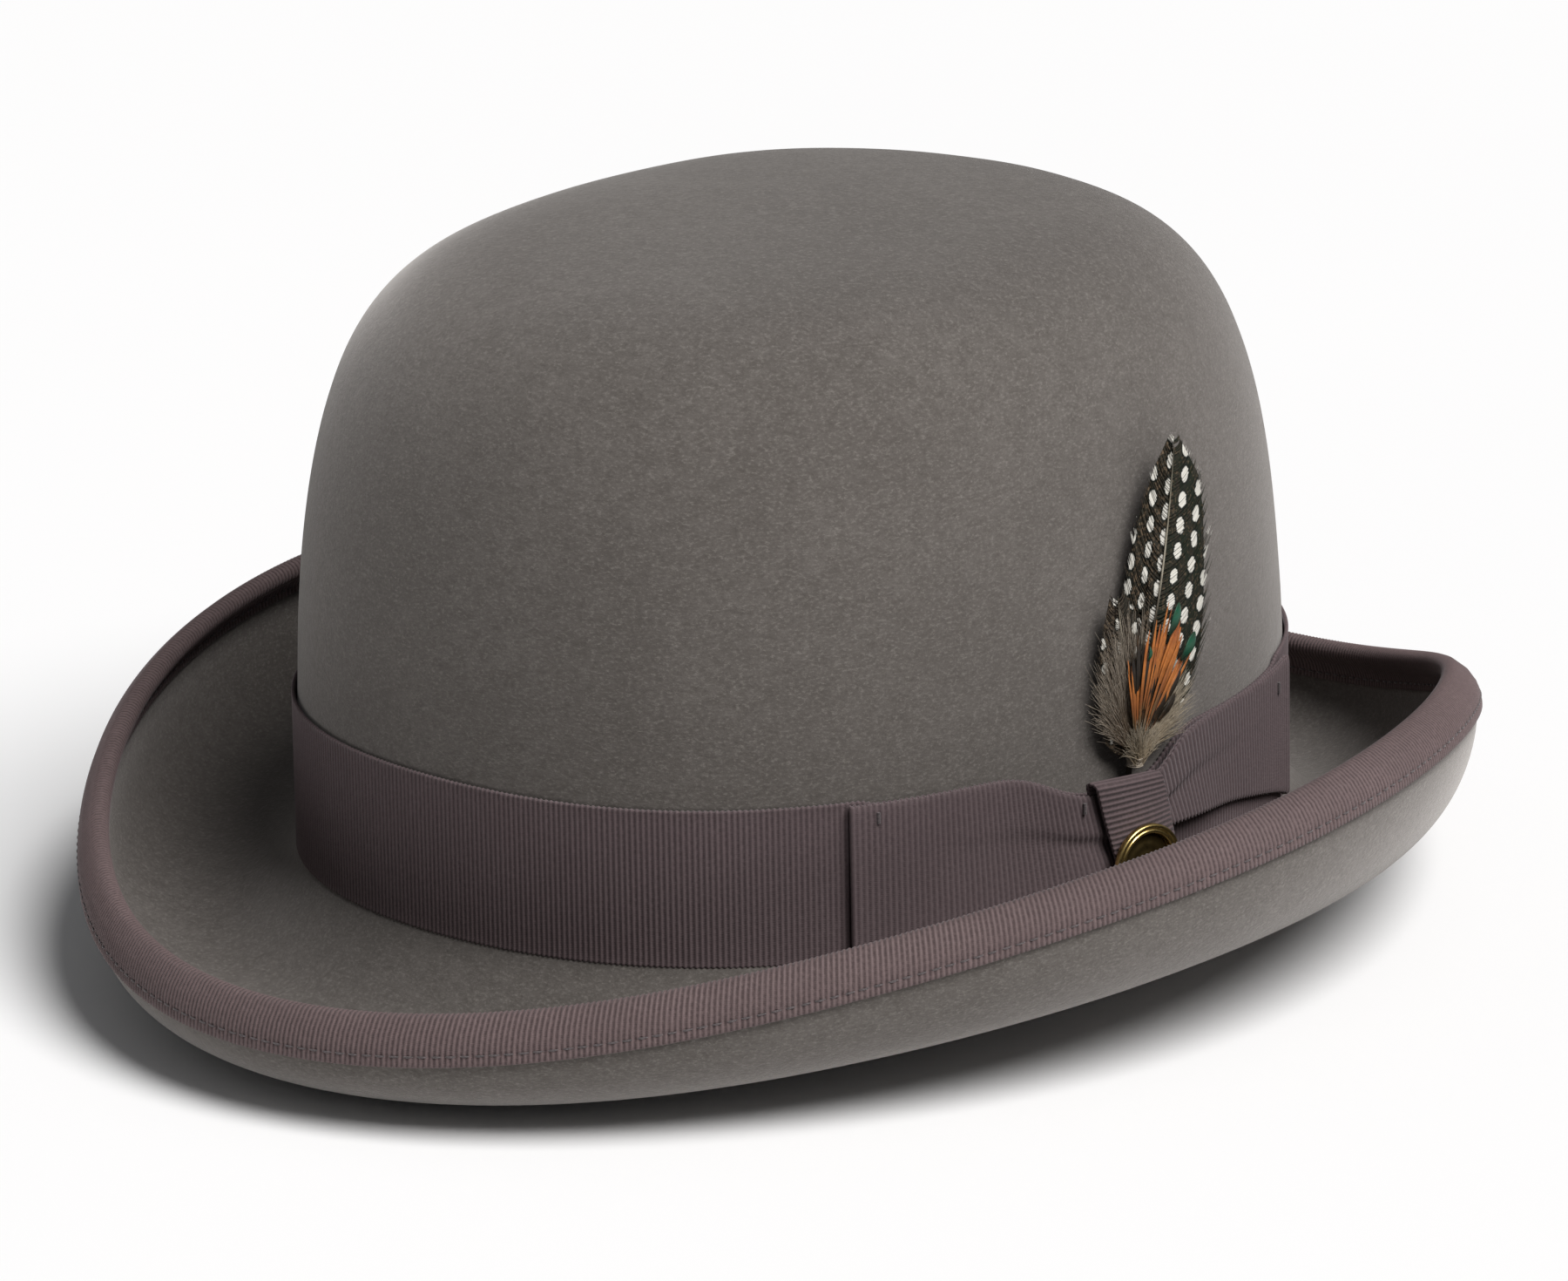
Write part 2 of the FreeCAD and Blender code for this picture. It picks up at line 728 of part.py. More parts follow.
def vane(label, length, half_width, widest, lean, lift):
    """Flat feather: a leaf outline, widest at a share of its length."""
    turn = (FreeCAD.Rotation(V(1, 0, 0), -lean) * FreeCAD.Rotation(V(0, 0, 1), 90)
            * FreeCAD.Rotation(V(1, 0, 0), 90))
    foot = feather_origin() + V(lift, 0, size("tie_height") + size("plume_gap"))
    body = new_body(label, FreeCAD.Placement(foot, turn))
    sketch = sketch_on(body, "XY_Plane", label + "_outline")
    base, belly, tip = V(0.4, 0, 0), V(half_width, widest * length, 0), V(0.3, length, 0)
    shoulder = V(half_width * 0.78, (widest + 1) / 2 * length, 0)
    hip = V(half_width * 0.62, widest / 3 * length, 0)
    for side in (1, -1):
        curve = Part.BSplineCurve()
        curve.interpolate([V(side * p.x, p.y, 0) for p in (base, hip, belly, shoulder, tip)])
        sketch.addGeometry(curve, False)
    for end in (base, tip):
        sketch.addGeometry(Part.LineSegment(V(-end.x, end.y, 0), end), False)
    doc.recompute()
    pad_sketch(body, sketch, "sheet.vane_thickness")
    return body


# label, length, half width, widest share, lean from upright, distance off the band
VANES = (
    ("guinea_feather_main", 63.4, 12.0, 0.5, 17.5, 0.35),
    ("guinea_feather_side", 40.0, 9.0, 0.55, -5.0, 1.0),
    ("down_plume_front", 24.0, 5.5, 0.6, -26.0, 1.65),
    ("down_plume_rear", 20.0, 4.5, 0.6, 44.0, 2.3),
    ("pheasant_feather_rear", 29.0, 5.5, 0.55, 21.0, 2.95),
    ("pheasant_feather_front", 27.0, 6.0, 0.55, 10.0, 3.6),
)


# ------------------------------------------------------------------ pin

def revolved(label, outline, placement):
    """Turned piece: outline points are (radius, height) around the local Z axis."""
    body = new_body(label, placement)
    sketch = sketch_on(body, "XZ_Plane", label + "_profile")
    corners = [V(radius, height, 0) for radius, height in outline]
    for first, second in zip(corners, corners[1:] + corners[:1]):
        sketch.addGeometry(Part.LineSegment(first, second), False)
    doc.recompute()
    turn = body.newObject("PartDesign::Revolution", label + "_turn")
    turn.Profile = sketch
    turn.ReferenceAxis = (sketch, ["V_Axis"])
    turn.Angle = 360
    body.Tip = turn
    return body


def pin_bezel():
    """Round brass rim with two raised beads, and the pin's back plate."""
    radius, depth = size("pin_radius"), size("pin_depth")
    outline = [(0, 0), (radius - 1.0, 0), (radius - 0.2, depth * 0.3), (radius, depth * 0.6),
               (radius - 0.5, depth), (radius - 1.0, depth * 0.8), (radius - 1.5, depth * 0.95),
               (radius - 2.0, depth * 0.6), (radius - 2.1, 0.6), (0, 0.6)]
    return revolved("pin_bezel", outline, pin_placement(0))


def pin_face():
    """Plain domed disc of darkened brass set into the rim."""
    radius, depth = size("pin_radius") - 2.15, size("pin_depth")
    outline = [(0, 0.62), (radius, 0.62), (radius, 0.9), (radius * 0.6, depth * 0.62),
               (0, depth * 0.7)]
    return revolved("pin_face", outline, pin_placement(0))


def pin_post():
    """Sharp post behind the pin, through knot, band and felt."""
    radius, length = size("post_radius"), size("post_length")
    outline = [(0, -length), (0.1, -length), (radius, -length + 2.0), (radius, 0), (0, 0)]
    return revolved("pin_post", outline, pin_placement(0))


def pin_clutch():
    """Flat locking disc on the post, inside the crown and behind the sweatband."""
    radius, depth, hole = size("clutch_radius"), size("clutch_depth"), size("post_radius")
    outline = [(hole, 0), (radius, 0), (radius, depth * 0.7), (radius - 0.5, depth),
               (hole, depth)]
    return revolved("pin_clutch", outline, pin_placement(0.15 - size("post_length")))


# ------------------------------------------------------------------ assembly

pieces = [*felt_crown_and_brim(), brim_binding(), binding_thread(), hat_band(),
          bow_front_wing(), bow_rear_wing(), bow_knot(), bow_tack_stitches(), sweatband(),
          sweatband_reed(), sweatband_stitches(), sweatband_bow(), sweatband_bow_knot(),
          lining_side(), lining_tip(), lining_piping(), size_label(), feather_quills(),
          feather_tie(),
          *[vane(*values) for values in VANES], pin_bezel(), pin_face(), pin_post(),
          pin_clutch()]
doc.recompute()

for item in doc.Objects:
    if "Invalid" in item.State or "Error" in item.State:
        raise RuntimeError(f"{item.Label} failed to recompute: {item.State}")
os.makedirs("parts", exist_ok=True)
for piece in pieces:
    if piece.Shape.isNull() or not piece.Shape.isValid():
        raise RuntimeError(f"{piece.Label} has no valid shape")
    piece.Shape.exportStep(f"parts/{piece.Label}.step")
    box = piece.Shape.BoundBox
    print(f"{piece.Label:24s} solids {len(piece.Shape.Solids):3d}  volume"
          f" {piece.Shape.Volume:10.1f}  X {box.XMin:7.1f}..{box.XMax:6.1f}"
          f"  Y {box.YMin:7.1f}..{box.YMax:6.1f}  Z {box.ZMin:6.1f}..{box.ZMax:6.1f}")
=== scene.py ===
"""Bowler hat in grey wool felt, with ribbon trim, feather and pin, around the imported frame.

Shapes are worked out in millimetres in the hat's own frame and written in metres.
"""
import json
import math
import random

import bmesh
import bpy
import numpy as np
from mathutils import Matrix, Vector

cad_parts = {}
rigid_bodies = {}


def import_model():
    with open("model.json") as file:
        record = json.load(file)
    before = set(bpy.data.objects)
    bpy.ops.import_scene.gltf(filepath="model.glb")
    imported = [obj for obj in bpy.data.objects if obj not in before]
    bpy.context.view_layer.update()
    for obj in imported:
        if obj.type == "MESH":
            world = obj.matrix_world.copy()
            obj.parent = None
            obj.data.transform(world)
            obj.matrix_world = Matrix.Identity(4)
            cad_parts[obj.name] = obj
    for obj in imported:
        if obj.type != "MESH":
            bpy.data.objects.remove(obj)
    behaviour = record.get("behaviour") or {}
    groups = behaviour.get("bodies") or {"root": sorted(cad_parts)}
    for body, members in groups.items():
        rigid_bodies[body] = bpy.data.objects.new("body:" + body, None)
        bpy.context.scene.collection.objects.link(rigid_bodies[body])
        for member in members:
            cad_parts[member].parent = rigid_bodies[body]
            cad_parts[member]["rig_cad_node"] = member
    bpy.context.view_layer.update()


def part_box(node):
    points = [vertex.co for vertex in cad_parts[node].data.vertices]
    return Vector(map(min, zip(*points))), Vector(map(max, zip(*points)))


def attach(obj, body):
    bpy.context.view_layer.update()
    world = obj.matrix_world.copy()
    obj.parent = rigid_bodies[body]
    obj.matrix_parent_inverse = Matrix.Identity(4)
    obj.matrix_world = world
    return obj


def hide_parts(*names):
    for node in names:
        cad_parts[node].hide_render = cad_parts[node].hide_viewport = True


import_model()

MM = 0.001
TURN = 2 * math.pi
BACK = 0.25                      # where rings start, as a share of a turn from the left


def node_box(node):
    """Lowest and highest corner of a CAD node, in millimetres."""
    low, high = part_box(node)
    return np.array(low) / MM, np.array(high) / MM


# ------------------------------------------------------------------ driving sizes

band_low, band_high = node_box("hat_band")
BAND_LEVEL, BAND_TOP = band_low[2], band_high[2]
SETBACK = (band_low[1] + band_high[1]) / 2
OVAL_WIDE, OVAL_LONG, OVAL_FULL = 88.0, 104.0, 0.039
CROWN_HEIGHT, CAP_RISE, SHOULDER_POWER, CROWN_POWER = 115.5, 7.3, 7.9, 2.74
FELT, FELT_INSET = 2.6, 0.8
HALF_FELT = FELT / 2
CORNER_DROP, CORNER_REACH = 0.6, 2.6
CAP_SHARE, CAP_STEPS = 0.9, 60   # how far the crown's cap reaches, and its points
CURL = math.radians(70)          # turn of the brim's curl past its widest point
EDGE_STEPS = 4000
EDGE_WIDE, EDGE_LONG, EDGE_FULL = 127.5, 148.8, -0.033
RIBBON, FIT_GAP = 0.65, 0.12
BINDING_HALF = 10.3
PIN_SEAT = (6.7, -4.9, 8.8)      # beyond the band, along, above the band's foot
PIN_RADIUS, PIN_YAW = 8.0, math.radians(10)
QUILL_SIDE, QUILL_TOP = -2.0, 26.6


# ------------------------------------------------------------------ shape of the hat

def unit(vectors):
    return vectors / np.linalg.norm(vectors, axis=-1, keepdims=True)


def walked_along(points):
    """Length walked to each point of a line."""
    return np.concatenate([[0], np.cumsum(np.linalg.norm(np.diff(points, axis=0), axis=1))])


def full_ellipse(theta, half_x, half_y, fullness):
    swell = 1 + fullness * np.sin(2 * theta) ** 2
    return half_x * np.cos(theta) * swell, half_y * np.sin(theta) * swell


def oval(theta, inset, level):
    """Points on the crown's oval; negative insets stand off it."""
    x, y = full_ellipse(theta, OVAL_WIDE - inset, OVAL_LONG - inset, OVAL_FULL)
    level = np.broadcast_to(level, np.shape(x))
    return np.stack([x, y + SETBACK, level + BAND_LEVEL], -1)


def brim_shape(theta):
    """Edge height, curl depth, place of the lowest line, bulge reach and bulge drop."""
    side, rear = np.cos(2 * theta), np.sin(theta) + np.sin(3 * theta)
    ripple = (np.sin(5 * theta) + np.sin(3 * theta)) / 2
    edge = 16.85 + 13.48 * side - 1.24 * np.cos(4 * theta) + 3.65 * rear - 0.95 * ripple
    depth = 12.4 - 9.1 * side - 1.16 * rear
    place = 0.58 + 0.14 * side
    reach = 6.84 + 0.95 * side + 0.76 * rear
    drop = 8.14 - 1.08 * side
    return edge, depth, place, reach, drop


def plan_points(theta):
    """Wall and edge points of the brim in plan, and the crown's centre."""
    wall = oval(theta, FELT_INSET, 0)[..., :2]
    edge = np.stack(full_ellipse(theta, EDGE_WIDE, EDGE_LONG, EDGE_FULL), -1)
    return np.array([0.0, SETBACK]), wall, edge


def in_space(theta, reach, level):
    """Section points (one row per angle) to space: reach outward from the crown's wall."""
    centre, wall, edge = plan_points(theta)
    inward, outward = unit(wall - centre), unit(edge - wall)
    ahead = np.where(reach[..., None] < 0, inward[:, None], outward[:, None])
    plan = wall[:, None] + ahead * reach[..., None]
    return np.concatenate([plan, (level + BAND_LEVEL)[..., None]], -1)


def crown_level(share):
    wave = np.sqrt(np.maximum(0, 1 - share ** SHOULDER_POWER))
    return (CROWN_HEIGHT - HALF_FELT) * wave ** (2 / CROWN_POWER) + CAP_RISE * (1 - share ** 2)


def middle_path(theta):
    """Dense middle line of the felt for each angle, from the crown's top to the edge."""
    centre, wall, edge_plan = plan_points(theta)
    radius = np.linalg.norm(wall - centre, axis=-1)[:, None]
    width = np.linalg.norm(edge_plan - wall, axis=-1)[:, None]
    edge, depth, place, reach, drop = (value[:, None] for value in brim_shape(theta))
    half = HALF_FELT
    # crown: shares of the radius over the cap, then levels down the side
    share = np.sin(np.linspace(0, math.asin(CAP_SHARE), CAP_STEPS))
    level = crown_level(share)
    side = np.linspace(level[-1] - 1, CORNER_REACH + 1, 70)
    wave = (side / CROWN_HEIGHT) ** (CROWN_POWER / 2)
    side_share = (1 - wave ** 2) ** (1 / SHOULDER_POWER)
    shares = np.concatenate([share, side_share])[None]
    reaches = [shares * (radius - half) - radius]
    levels = [np.broadcast_to(np.concatenate([level, side]), reaches[0].shape)]
    # rounded corner into the brim, then the slope down to the lowest line
    corner = -CORNER_DROP - half
    low_reach, low_level = place * width, half - depth
    start = CORNER_REACH / low_reach

    def slope(at):
        return at * low_reach, corner + (low_level - corner) * (1 - (1 - at) ** 2)

    at = np.linspace(0, 1, 14)[None, 1:-1]
    below = slope(start)
    reaches.append((1 - at) ** 2 * -half + 2 * at * (1 - at) * -half + at ** 2 * below[0])
    levels.append((1 - at) ** 2 * (corner + CORNER_REACH) + 2 * at * (1 - at) * corner
                  + at ** 2 * below[1])
    down = slope(start + (1 - start) * np.linspace(0, 1, 60, endpoint=False)[None])
    reaches.append(down[0])
    levels.append(down[1])
    # curl: quarter ellipse out to the bulge, then in towards the edge
    lip = half + RIBBON
    bulge_reach, bulge_level = width + reach - lip, edge - drop
    turn = np.linspace(0, math.pi / 2, 90, endpoint=False)[None]
    reaches.append(low_reach + (bulge_reach - low_reach) * np.sin(turn))
    levels.append(bulge_level + (low_level - bulge_level) * np.cos(turn))
    turn = np.linspace(0, CURL, 40)[None]
    reaches.append(width + (reach - lip) * np.cos(turn))
    levels.append(bulge_level + (drop - lip) * np.sin(turn))
    return np.concatenate(reaches, 1), np.concatenate(levels, 1)


def along(path, stations):
    """Each row's path read at stations, shares of its length from 0 to 1."""
    reach, level = path
    steps = np.hypot(np.diff(reach, axis=1), np.diff(level, axis=1))
    walked = np.concatenate([np.zeros((len(reach), 1)), np.cumsum(steps, 1)], 1)
    wanted = stations * walked[:, -1:]
    rows = [(np.interp(want, walk, a), np.interp(want, walk, b))
            for want, walk, a, b in zip(wanted, walked, reach, level)]
    return np.array([row[0] for row in rows]), np.array([row[1] for row in rows])


def path_length(path):
    return np.hypot(np.diff(path[0], axis=1), np.diff(path[1], axis=1)).sum(1)


def softened(path, passes):
    """The path with its bends eased; its ends stay."""
    reach, level = path[0].copy(), path[1].copy()
    for _ in range(passes):
        for line in (reach, level):
            line[:, 1:-1] = line[:, 1:-1] / 2 + (line[:, :-2] + line[:, 2:]) / 4
    return reach, level


def path_normals(path):
    run, rise = np.gradient(path[0], axis=1), np.gradient(path[1], axis=1)
    length = np.hypot(run, rise)
    return -rise / length, run / length


def felt_middle(theta, count):
    """Evenly spaced, softened middle line of the felt."""
    stations = np.linspace(0, 1, count)[None]
    return softened(along(middle_path(theta), stations), 6)


def round_the_hat(count):
    """Even angles all round, from the back."""
    return TURN * (BACK + np.arange(count) / count)


def even_angles(curve, count):
    """Angles around the hat at which a closed curve's points are evenly spaced."""
    dense = TURN * (BACK + np.linspace(0, 1, EDGE_STEPS + 1))
    walked = walked_along(curve(dense))
    wanted = np.linspace(0, walked[-1], count, endpoint=False)
    return np.interp(wanted, walked, dense), walked[-1]


def edge_curve(theta):
    x, y = full_ellipse(theta, EDGE_WIDE, EDGE_LONG, EDGE_FULL)
    return np.stack([x, y, brim_shape(theta)[0]], -1)


# ------------------------------------------------------------------ meshes

def smooth_mesh(name, points, corners, starts, uv):
    """Mesh of points in millimetres; starts is where each face begins among the corners."""
    mesh = bpy.data.meshes.new(name)
    mesh.vertices.add(points.size // 3)
    mesh.vertices.foreach_set("co", (points.reshape(-1) * MM).astype(np.float32))
    mesh.loops.add(len(corners))
    mesh.loops.foreach_set("vertex_index", corners.astype(np.int32))
    mesh.polygons.add(len(starts))
    mesh.polygons.foreach_set("loop_start", starts.astype(np.int32))
    mesh.polygons.foreach_set("use_smooth", np.ones(len(starts), bool))
    mesh.update(calc_edges=True)
    if uv is not None:
        layer = mesh.uv_layers.new(name="weave")
        layer.data.foreach_set("uv", uv.reshape(-1).astype(np.float32))
    return mesh


def grid_object(name, points, material, body="hat", uv=None, wrap=False):
    """Smooth quad grid from points[row, column]; wrap closes the columns into a ring."""
    rows, columns = points.shape[:2]
    spans = columns if wrap else columns - 1
    row, column = np.meshgrid(np.arange(rows - 1), np.arange(spans), indexing="ij")
    after = (column + 1) % columns
    corners = np.stack([row * columns + column, row * columns + after,
                        (row + 1) * columns + after, (row + 1) * columns + column], -1)
    if uv is not None:
        step = column + 1
        uv = np.stack([uv[row, column], uv[row, step], uv[row + 1, step],
                       uv[row + 1, column]], 2)
    mesh = smooth_mesh(name, points, corners.reshape(-1), np.arange(0, corners.size, 4), uv)
    return place(name, mesh, material, body)


def place(name, mesh, material, body):
    item = bpy.data.objects.new(name, mesh)
    bpy.context.scene.collection.objects.link(item)
    if material:
        mesh.materials.append(material)
    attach(item, body)
    return item


MERGE_DISTANCE = 1e-7


def tidy_mesh(mesh):
    """Merges coincident points, such as a pole's, and points the faces outward."""
    work = bmesh.new()
    work.from_mesh(mesh)
    bmesh.ops.remove_doubles(work, verts=work.verts, dist=MERGE_DISTANCE)
    bmesh.ops.recalc_face_normals(work, faces=work.faces)
    work.to_mesh(mesh)
    work.free()


def finished(item, slot_name, *nodes):
    """Clean a closed piece and hide the CAD nodes it stands for; slot_name is not used."""
    tidy_mesh(item.data)
    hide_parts(*nodes)


def weave_uv(first, second):
    """UV in millimetres from two arrays that broadcast together."""
    first, second = np.broadcast_arrays(first, second)
    return np.stack([first, second], -1)


def value_noise(points, scale, seed):
    """Smooth deterministic noise from a sum of rotated sines, about -1 to 1."""
    random.seed(seed)
    total = np.zeros(points.shape[:-1])
    for _ in range(14):
        direction = np.array([random.gauss(0, 1) for _ in range(3)])
        direction *= random.uniform(0.5, 1.6) / np.linalg.norm(direction) / scale * TURN
        total += np.sin(points @ direction + random.uniform(0, TURN))
    return total / 3.7


# ------------------------------------------------------------------ materials

class Look:
    """A node material around one Principled shader."""

    def __init__(self, name, **sockets):
        self.material = bpy.data.materials.new(name)
        self.material.use_nodes = True
        self.tree = self.material.node_tree
        self.shader = self.tree.nodes["Principled BSDF"]
        for socket, value in sockets.items():
            self.shader.inputs[socket.replace("_", " ")].default_value = value

    def add(self, kind, inputs=None, **settings):
        node = self.tree.nodes.new("ShaderNode" + kind)
        for key, value in settings.items():
            setattr(node, key, value)
        for key, value in (inputs or {}).items():
            self.feed(node.inputs[key], value)
        return node

    def feed(self, socket, value):
        if isinstance(value, bpy.types.NodeSocket):
            self.tree.links.new(value, socket)
        else:
            socket.default_value = value

    def math(self, operation, first, second=0.0, third=0.0):
        node = self.add("Math", operation=operation)
        for socket, value in zip(node.inputs, (first, second, third)):
            self.feed(socket, value)
        return node.outputs[0]

    def mix(self, factor, first, second):
        node = self.add("Mix", data_type="RGBA", blend_type="MIX")
        self.feed(node.inputs["Factor"], factor)
        self.feed(node.inputs["A"], first)
        self.feed(node.inputs["B"], second)
        return node.outputs["Result"]

    def span(self, value, low, high, to_low=0.0, to_high=1.0):
        node = self.add("MapRange", interpolation_type="SMOOTHSTEP")
        for key, given in zip(("Value", "From Min", "From Max", "To Min", "To Max"),
                              (value, low, high, to_low, to_high)):
            self.feed(node.inputs[key], given)
        return node.outputs[0]

    def place_in_space(self):
        """Rest position in metres, the same for every piece."""
        return self.add("TexCoord").outputs["Object"]

    def noise(self, scale, detail, rough, stretch=None):
        where = self.place_in_space()
        if stretch:
            where = self.add("Mapping", {"Vector": where, "Scale": stretch}).outputs[0]
        return self.add("TexNoise", {"Vector": where, "Scale": scale, "Detail": detail,
                                     "Roughness": rough}).outputs["Fac"]

    def weave(self):
        """UV in millimetres, along and across the ribbon."""
        split = self.add("SeparateXYZ", {0: self.add("UVMap", uv_map="weave").outputs[0]})
        return split.outputs[0], split.outputs[1]

    def colour(self, value):
        self.feed(self.shader.inputs["Base Color"], value)

    def roughness(self, value):
        self.feed(self.shader.inputs["Roughness"], value)

    def bump(self, *layers):
        """Layers are (height socket, distance in metres, strength)."""
        normal = None
        for height, distance, strength in layers:
            node = self.add("Bump", {"Height": height, "Distance": distance,
                                     "Strength": strength})
            if normal:
                self.feed(node.inputs["Normal"], normal)
            normal = node.outputs[0]
        self.feed(self.shader.inputs["Normal"], normal)


def rgb(red, green, blue):
    return (red, green, blue, 1.0)


def felt_look():
    """Brushed wool felt: fine mottled fibres that lie around the hat."""
    look = Look("grey_wool_felt", Roughness=0.95, Specular_IOR_Level=0.12,
                Sheen_Weight=0.6, Sheen_Roughness=0.45, Sheen_Tint=rgb(0.9, 0.86, 0.83))
    cloud = look.noise(32, 4, 0.6)
    tuft = look.noise(300, 6, 0.72, stretch=(1.0, 1.0, 1.7))
    fibre = look.noise(1300, 4, 0.75, stretch=(0.8, 0.8, 1.5))
    base = look.mix(look.span(cloud, 0.3, 0.7), rgb(0.101, 0.0900, 0.0815),
                    rgb(0.119, 0.1065, 0.0970))
    base = look.mix(look.span(tuft, 0.34, 0.62, 0.72, 0.0), base, rgb(0.084, 0.074, 0.066))
    base = look.mix(look.span(fibre, 0.48, 0.72, 0.0, 0.65), base, rgb(0.21, 0.193, 0.176))
    base = look.mix(look.span(fibre, 0.28, 0.46, 0.5, 0.0), base, rgb(0.058, 0.051, 0.046))
    look.colour(base)
    look.bump((tuft, 0.0004, 0.35), (fibre, 0.0002, 0.5))
    return look.material


def grosgrain_look(name, dark, light, pitch):
    """Ribbed ribbon, crossed by fine warp threads; painted shade darkens the valleys between the
    ribs, so each rib's crown is lighter.
    """
    look = Look(name, Roughness=0.72, Specular_IOR_Level=0.3, Sheen_Weight=0.2,
                Sheen_Roughness=0.4, Sheen_Tint=rgb(0.9, 0.85, 0.88))
    rib_way, thread_way = look.weave()
    phase = look.math("MULTIPLY", rib_way, TURN / pitch)
    rib = look.math("MULTIPLY_ADD", look.math("COSINE", phase), 0.5, 0.5)
    thread = look.math("SINE", look.math("MULTIPLY", thread_way, TURN / 0.28))
    stagger = look.math("MULTIPLY", thread, look.math("SINE", look.math("MULTIPLY", phase, 0.5)))
    stain = look.noise(60, 4, 0.6)
    speck = look.noise(1500, 2, 0.5)
    # painted shade: colour runs from the dark valley between ribs to the light rib crown, in step
    # with the modelled ribs
    tone = look.mix(look.span(rib, 0.05, 0.8), dark, light)
    tone = look.mix(look.span(speck, 0.35, 0.75, 0.0, 0.35), tone,
                    rgb(*(min(1, 1.5 * value) for value in light[:3])))
    tone = look.mix(look.span(stain, 0.3, 0.7, 0.0, 0.22), tone, dark)
    look.colour(tone)
    look.roughness(look.span(rib, 0, 1, 0.85, 0.66))
    look.bump((rib, 0.00010, 0.5), (stagger, 0.00006, 0.45), (speck, 0.00008, 0.4))
    return look.material


def thread_look():
    look = Look("taupe_sewing_thread", Roughness=0.7, Sheen_Weight=0.3)
    twist = look.noise(2600, 2, 0.5, stretch=(1, 1, 3))
    look.colour(look.mix(look.span(twist, 0.3, 0.7), rgb(0.042, 0.034, 0.035),
                         rgb(0.11, 0.088, 0.09)))
    look.bump((twist, 0.0001, 0.6))
    return look.material


def cord_look(name, dark, light):
    look = Look(name, Roughness=0.8, Sheen_Weight=0.25)
    twist = look.noise(1900, 3, 0.6)
    look.colour(look.mix(look.span(twist, 0.3, 0.7), dark, light))
    look.bump((twist, 0.0001, 0.5))
    return look.material


def leather_look():
    """Smooth calf leather, with pores and fine creases."""
    look = Look("sweatband_leather", Specular_IOR_Level=0.45, Coat_Weight=0.08)
    cell = look.add("TexVoronoi", {"Vector": look.place_in_space(), "Scale": 900.0},
                    feature="DISTANCE_TO_EDGE").outputs["Distance"]
    pore, patch = look.noise(1400, 3, 0.6), look.noise(70, 4, 0.6)
    tone = look.mix(look.span(patch, 0.3, 0.7), rgb(0.105, 0.060, 0.034),
                    rgb(0.165, 0.098, 0.058))
    look.colour(look.mix(look.span(cell, 0, 0.12, 0.5, 0), tone, rgb(0.06, 0.034, 0.02)))
    look.roughness(look.span(patch, 0.2, 0.8, 0.42, 0.58))
    look.bump((cell, 0.0002, 0.35), (pore, 0.0001, 0.3))
    return look.material


def satin_look():
    """Warp-faced satin: smooth, with fine threads one way."""
    look = Look("lining_satin", Specular_IOR_Level=0.6, Sheen_Weight=0.25,
                Sheen_Roughness=0.3)
    thread = look.noise(3200, 2, 0.5, stretch=(1, 1, 0.08))
    sweep = look.noise(26, 3, 0.5)
    look.colour(look.mix(look.span(sweep, 0.3, 0.7), rgb(0.075, 0.070, 0.066),
                         rgb(0.115, 0.108, 0.102)))
    look.roughness(look.span(thread, 0.2, 0.8, 0.28, 0.42))
    look.bump((thread, 0.00006, 0.5), (sweep, 0.0012, 0.35))
    return look.material


def paper_look():
    look = Look("blank_paper_tab", Roughness=0.85)
    grain = look.noise(1700, 3, 0.6)
    look.colour(look.mix(look.span(grain, 0.3, 0.7), rgb(0.62, 0.59, 0.52),
                         rgb(0.74, 0.71, 0.64)))
    look.bump((grain, 0.00008, 0.4))
    return look.material


def brass_look(name, dark, light, low, high):
    """Brass with small handling marks; the tarnish lies in patches."""
    look = Look(name, Metallic=1.0)
    patch, scratch = look.noise(420, 5, 0.65), look.noise(2600, 2, 0.5, stretch=(1, 0.1, 1))
    look.colour(look.mix(look.span(patch, 0.35, 0.75), light, dark))
    look.roughness(look.span(patch, 0.25, 0.75, low, high))
    look.bump((scratch, 0.00002, 0.25), (patch, 0.00006, 0.2))
    return look.material


def guinea_look(name, ground, pepper, dark_ground, size):
    """Dark vane with rows of white oval spots, peppered brown on its left web."""
    look = Look(name, Roughness=0.75, Specular_IOR_Level=0.15)
    side, along = look.weave()
    wide, tall = 4.7, 5.0            # pitch of the spots
    spot_wide, spot_tall = 1.15, 1.72
    wander = look.noise(130, 2, 0.5)
    column = look.math("DIVIDE", look.math("ADD", side, look.math("MULTIPLY", wander, 1.4)), wide)
    cell = look.math("FLOOR", column)
    stagger = look.math("MULTIPLY", look.math("PINGPONG", cell, 1.0), 0.5)
    row = look.math("ADD", look.math("DIVIDE", along, tall), stagger)
    across = look.math("MULTIPLY", look.math("SUBTRACT", look.math("FRACT", column), 0.5), wide)
    up = look.math("MULTIPLY", look.math("SUBTRACT", look.math("FRACT", row), 0.5), tall)
    grown = look.span(along, 4, 24, 0.62 * size, size)
    far = look.math("DIVIDE", look.math("SQRT", look.math("ADD", look.math(
        "POWER", look.math("DIVIDE", look.math("ABSOLUTE", across), spot_wide), 2.0), look.math(
            "POWER", look.math("DIVIDE", look.math("ABSOLUTE", up), spot_tall), 2.0))), grown)
    fleck = look.noise(1500, 2, 0.5)
    left = look.mix(look.span(fleck, 0.5, 0.62), ground, pepper)
    streak = look.noise(900, 2, 0.5, stretch=(1, 1, 0.12))
    right = look.mix(look.span(streak, 0.42, 0.64, 0.1, 1.0), dark_ground, ground)
    right = look.mix(look.span(fleck, 0.54, 0.66, 0.0, 0.55), right, pepper)
    tone = look.mix(look.span(side, 38, 42.5), left, right)
    tone = look.mix(look.span(far, 1.0, 1.45, 1.0, 0.0), tone, rgb(0.010, 0.013, 0.010))
    look.colour(look.mix(look.span(far, 0.84, 1.02, 1.0, 0.0), tone, rgb(0.66, 0.64, 0.58)))
    look.bump((fleck, 0.0001, 0.4))
    return look.material


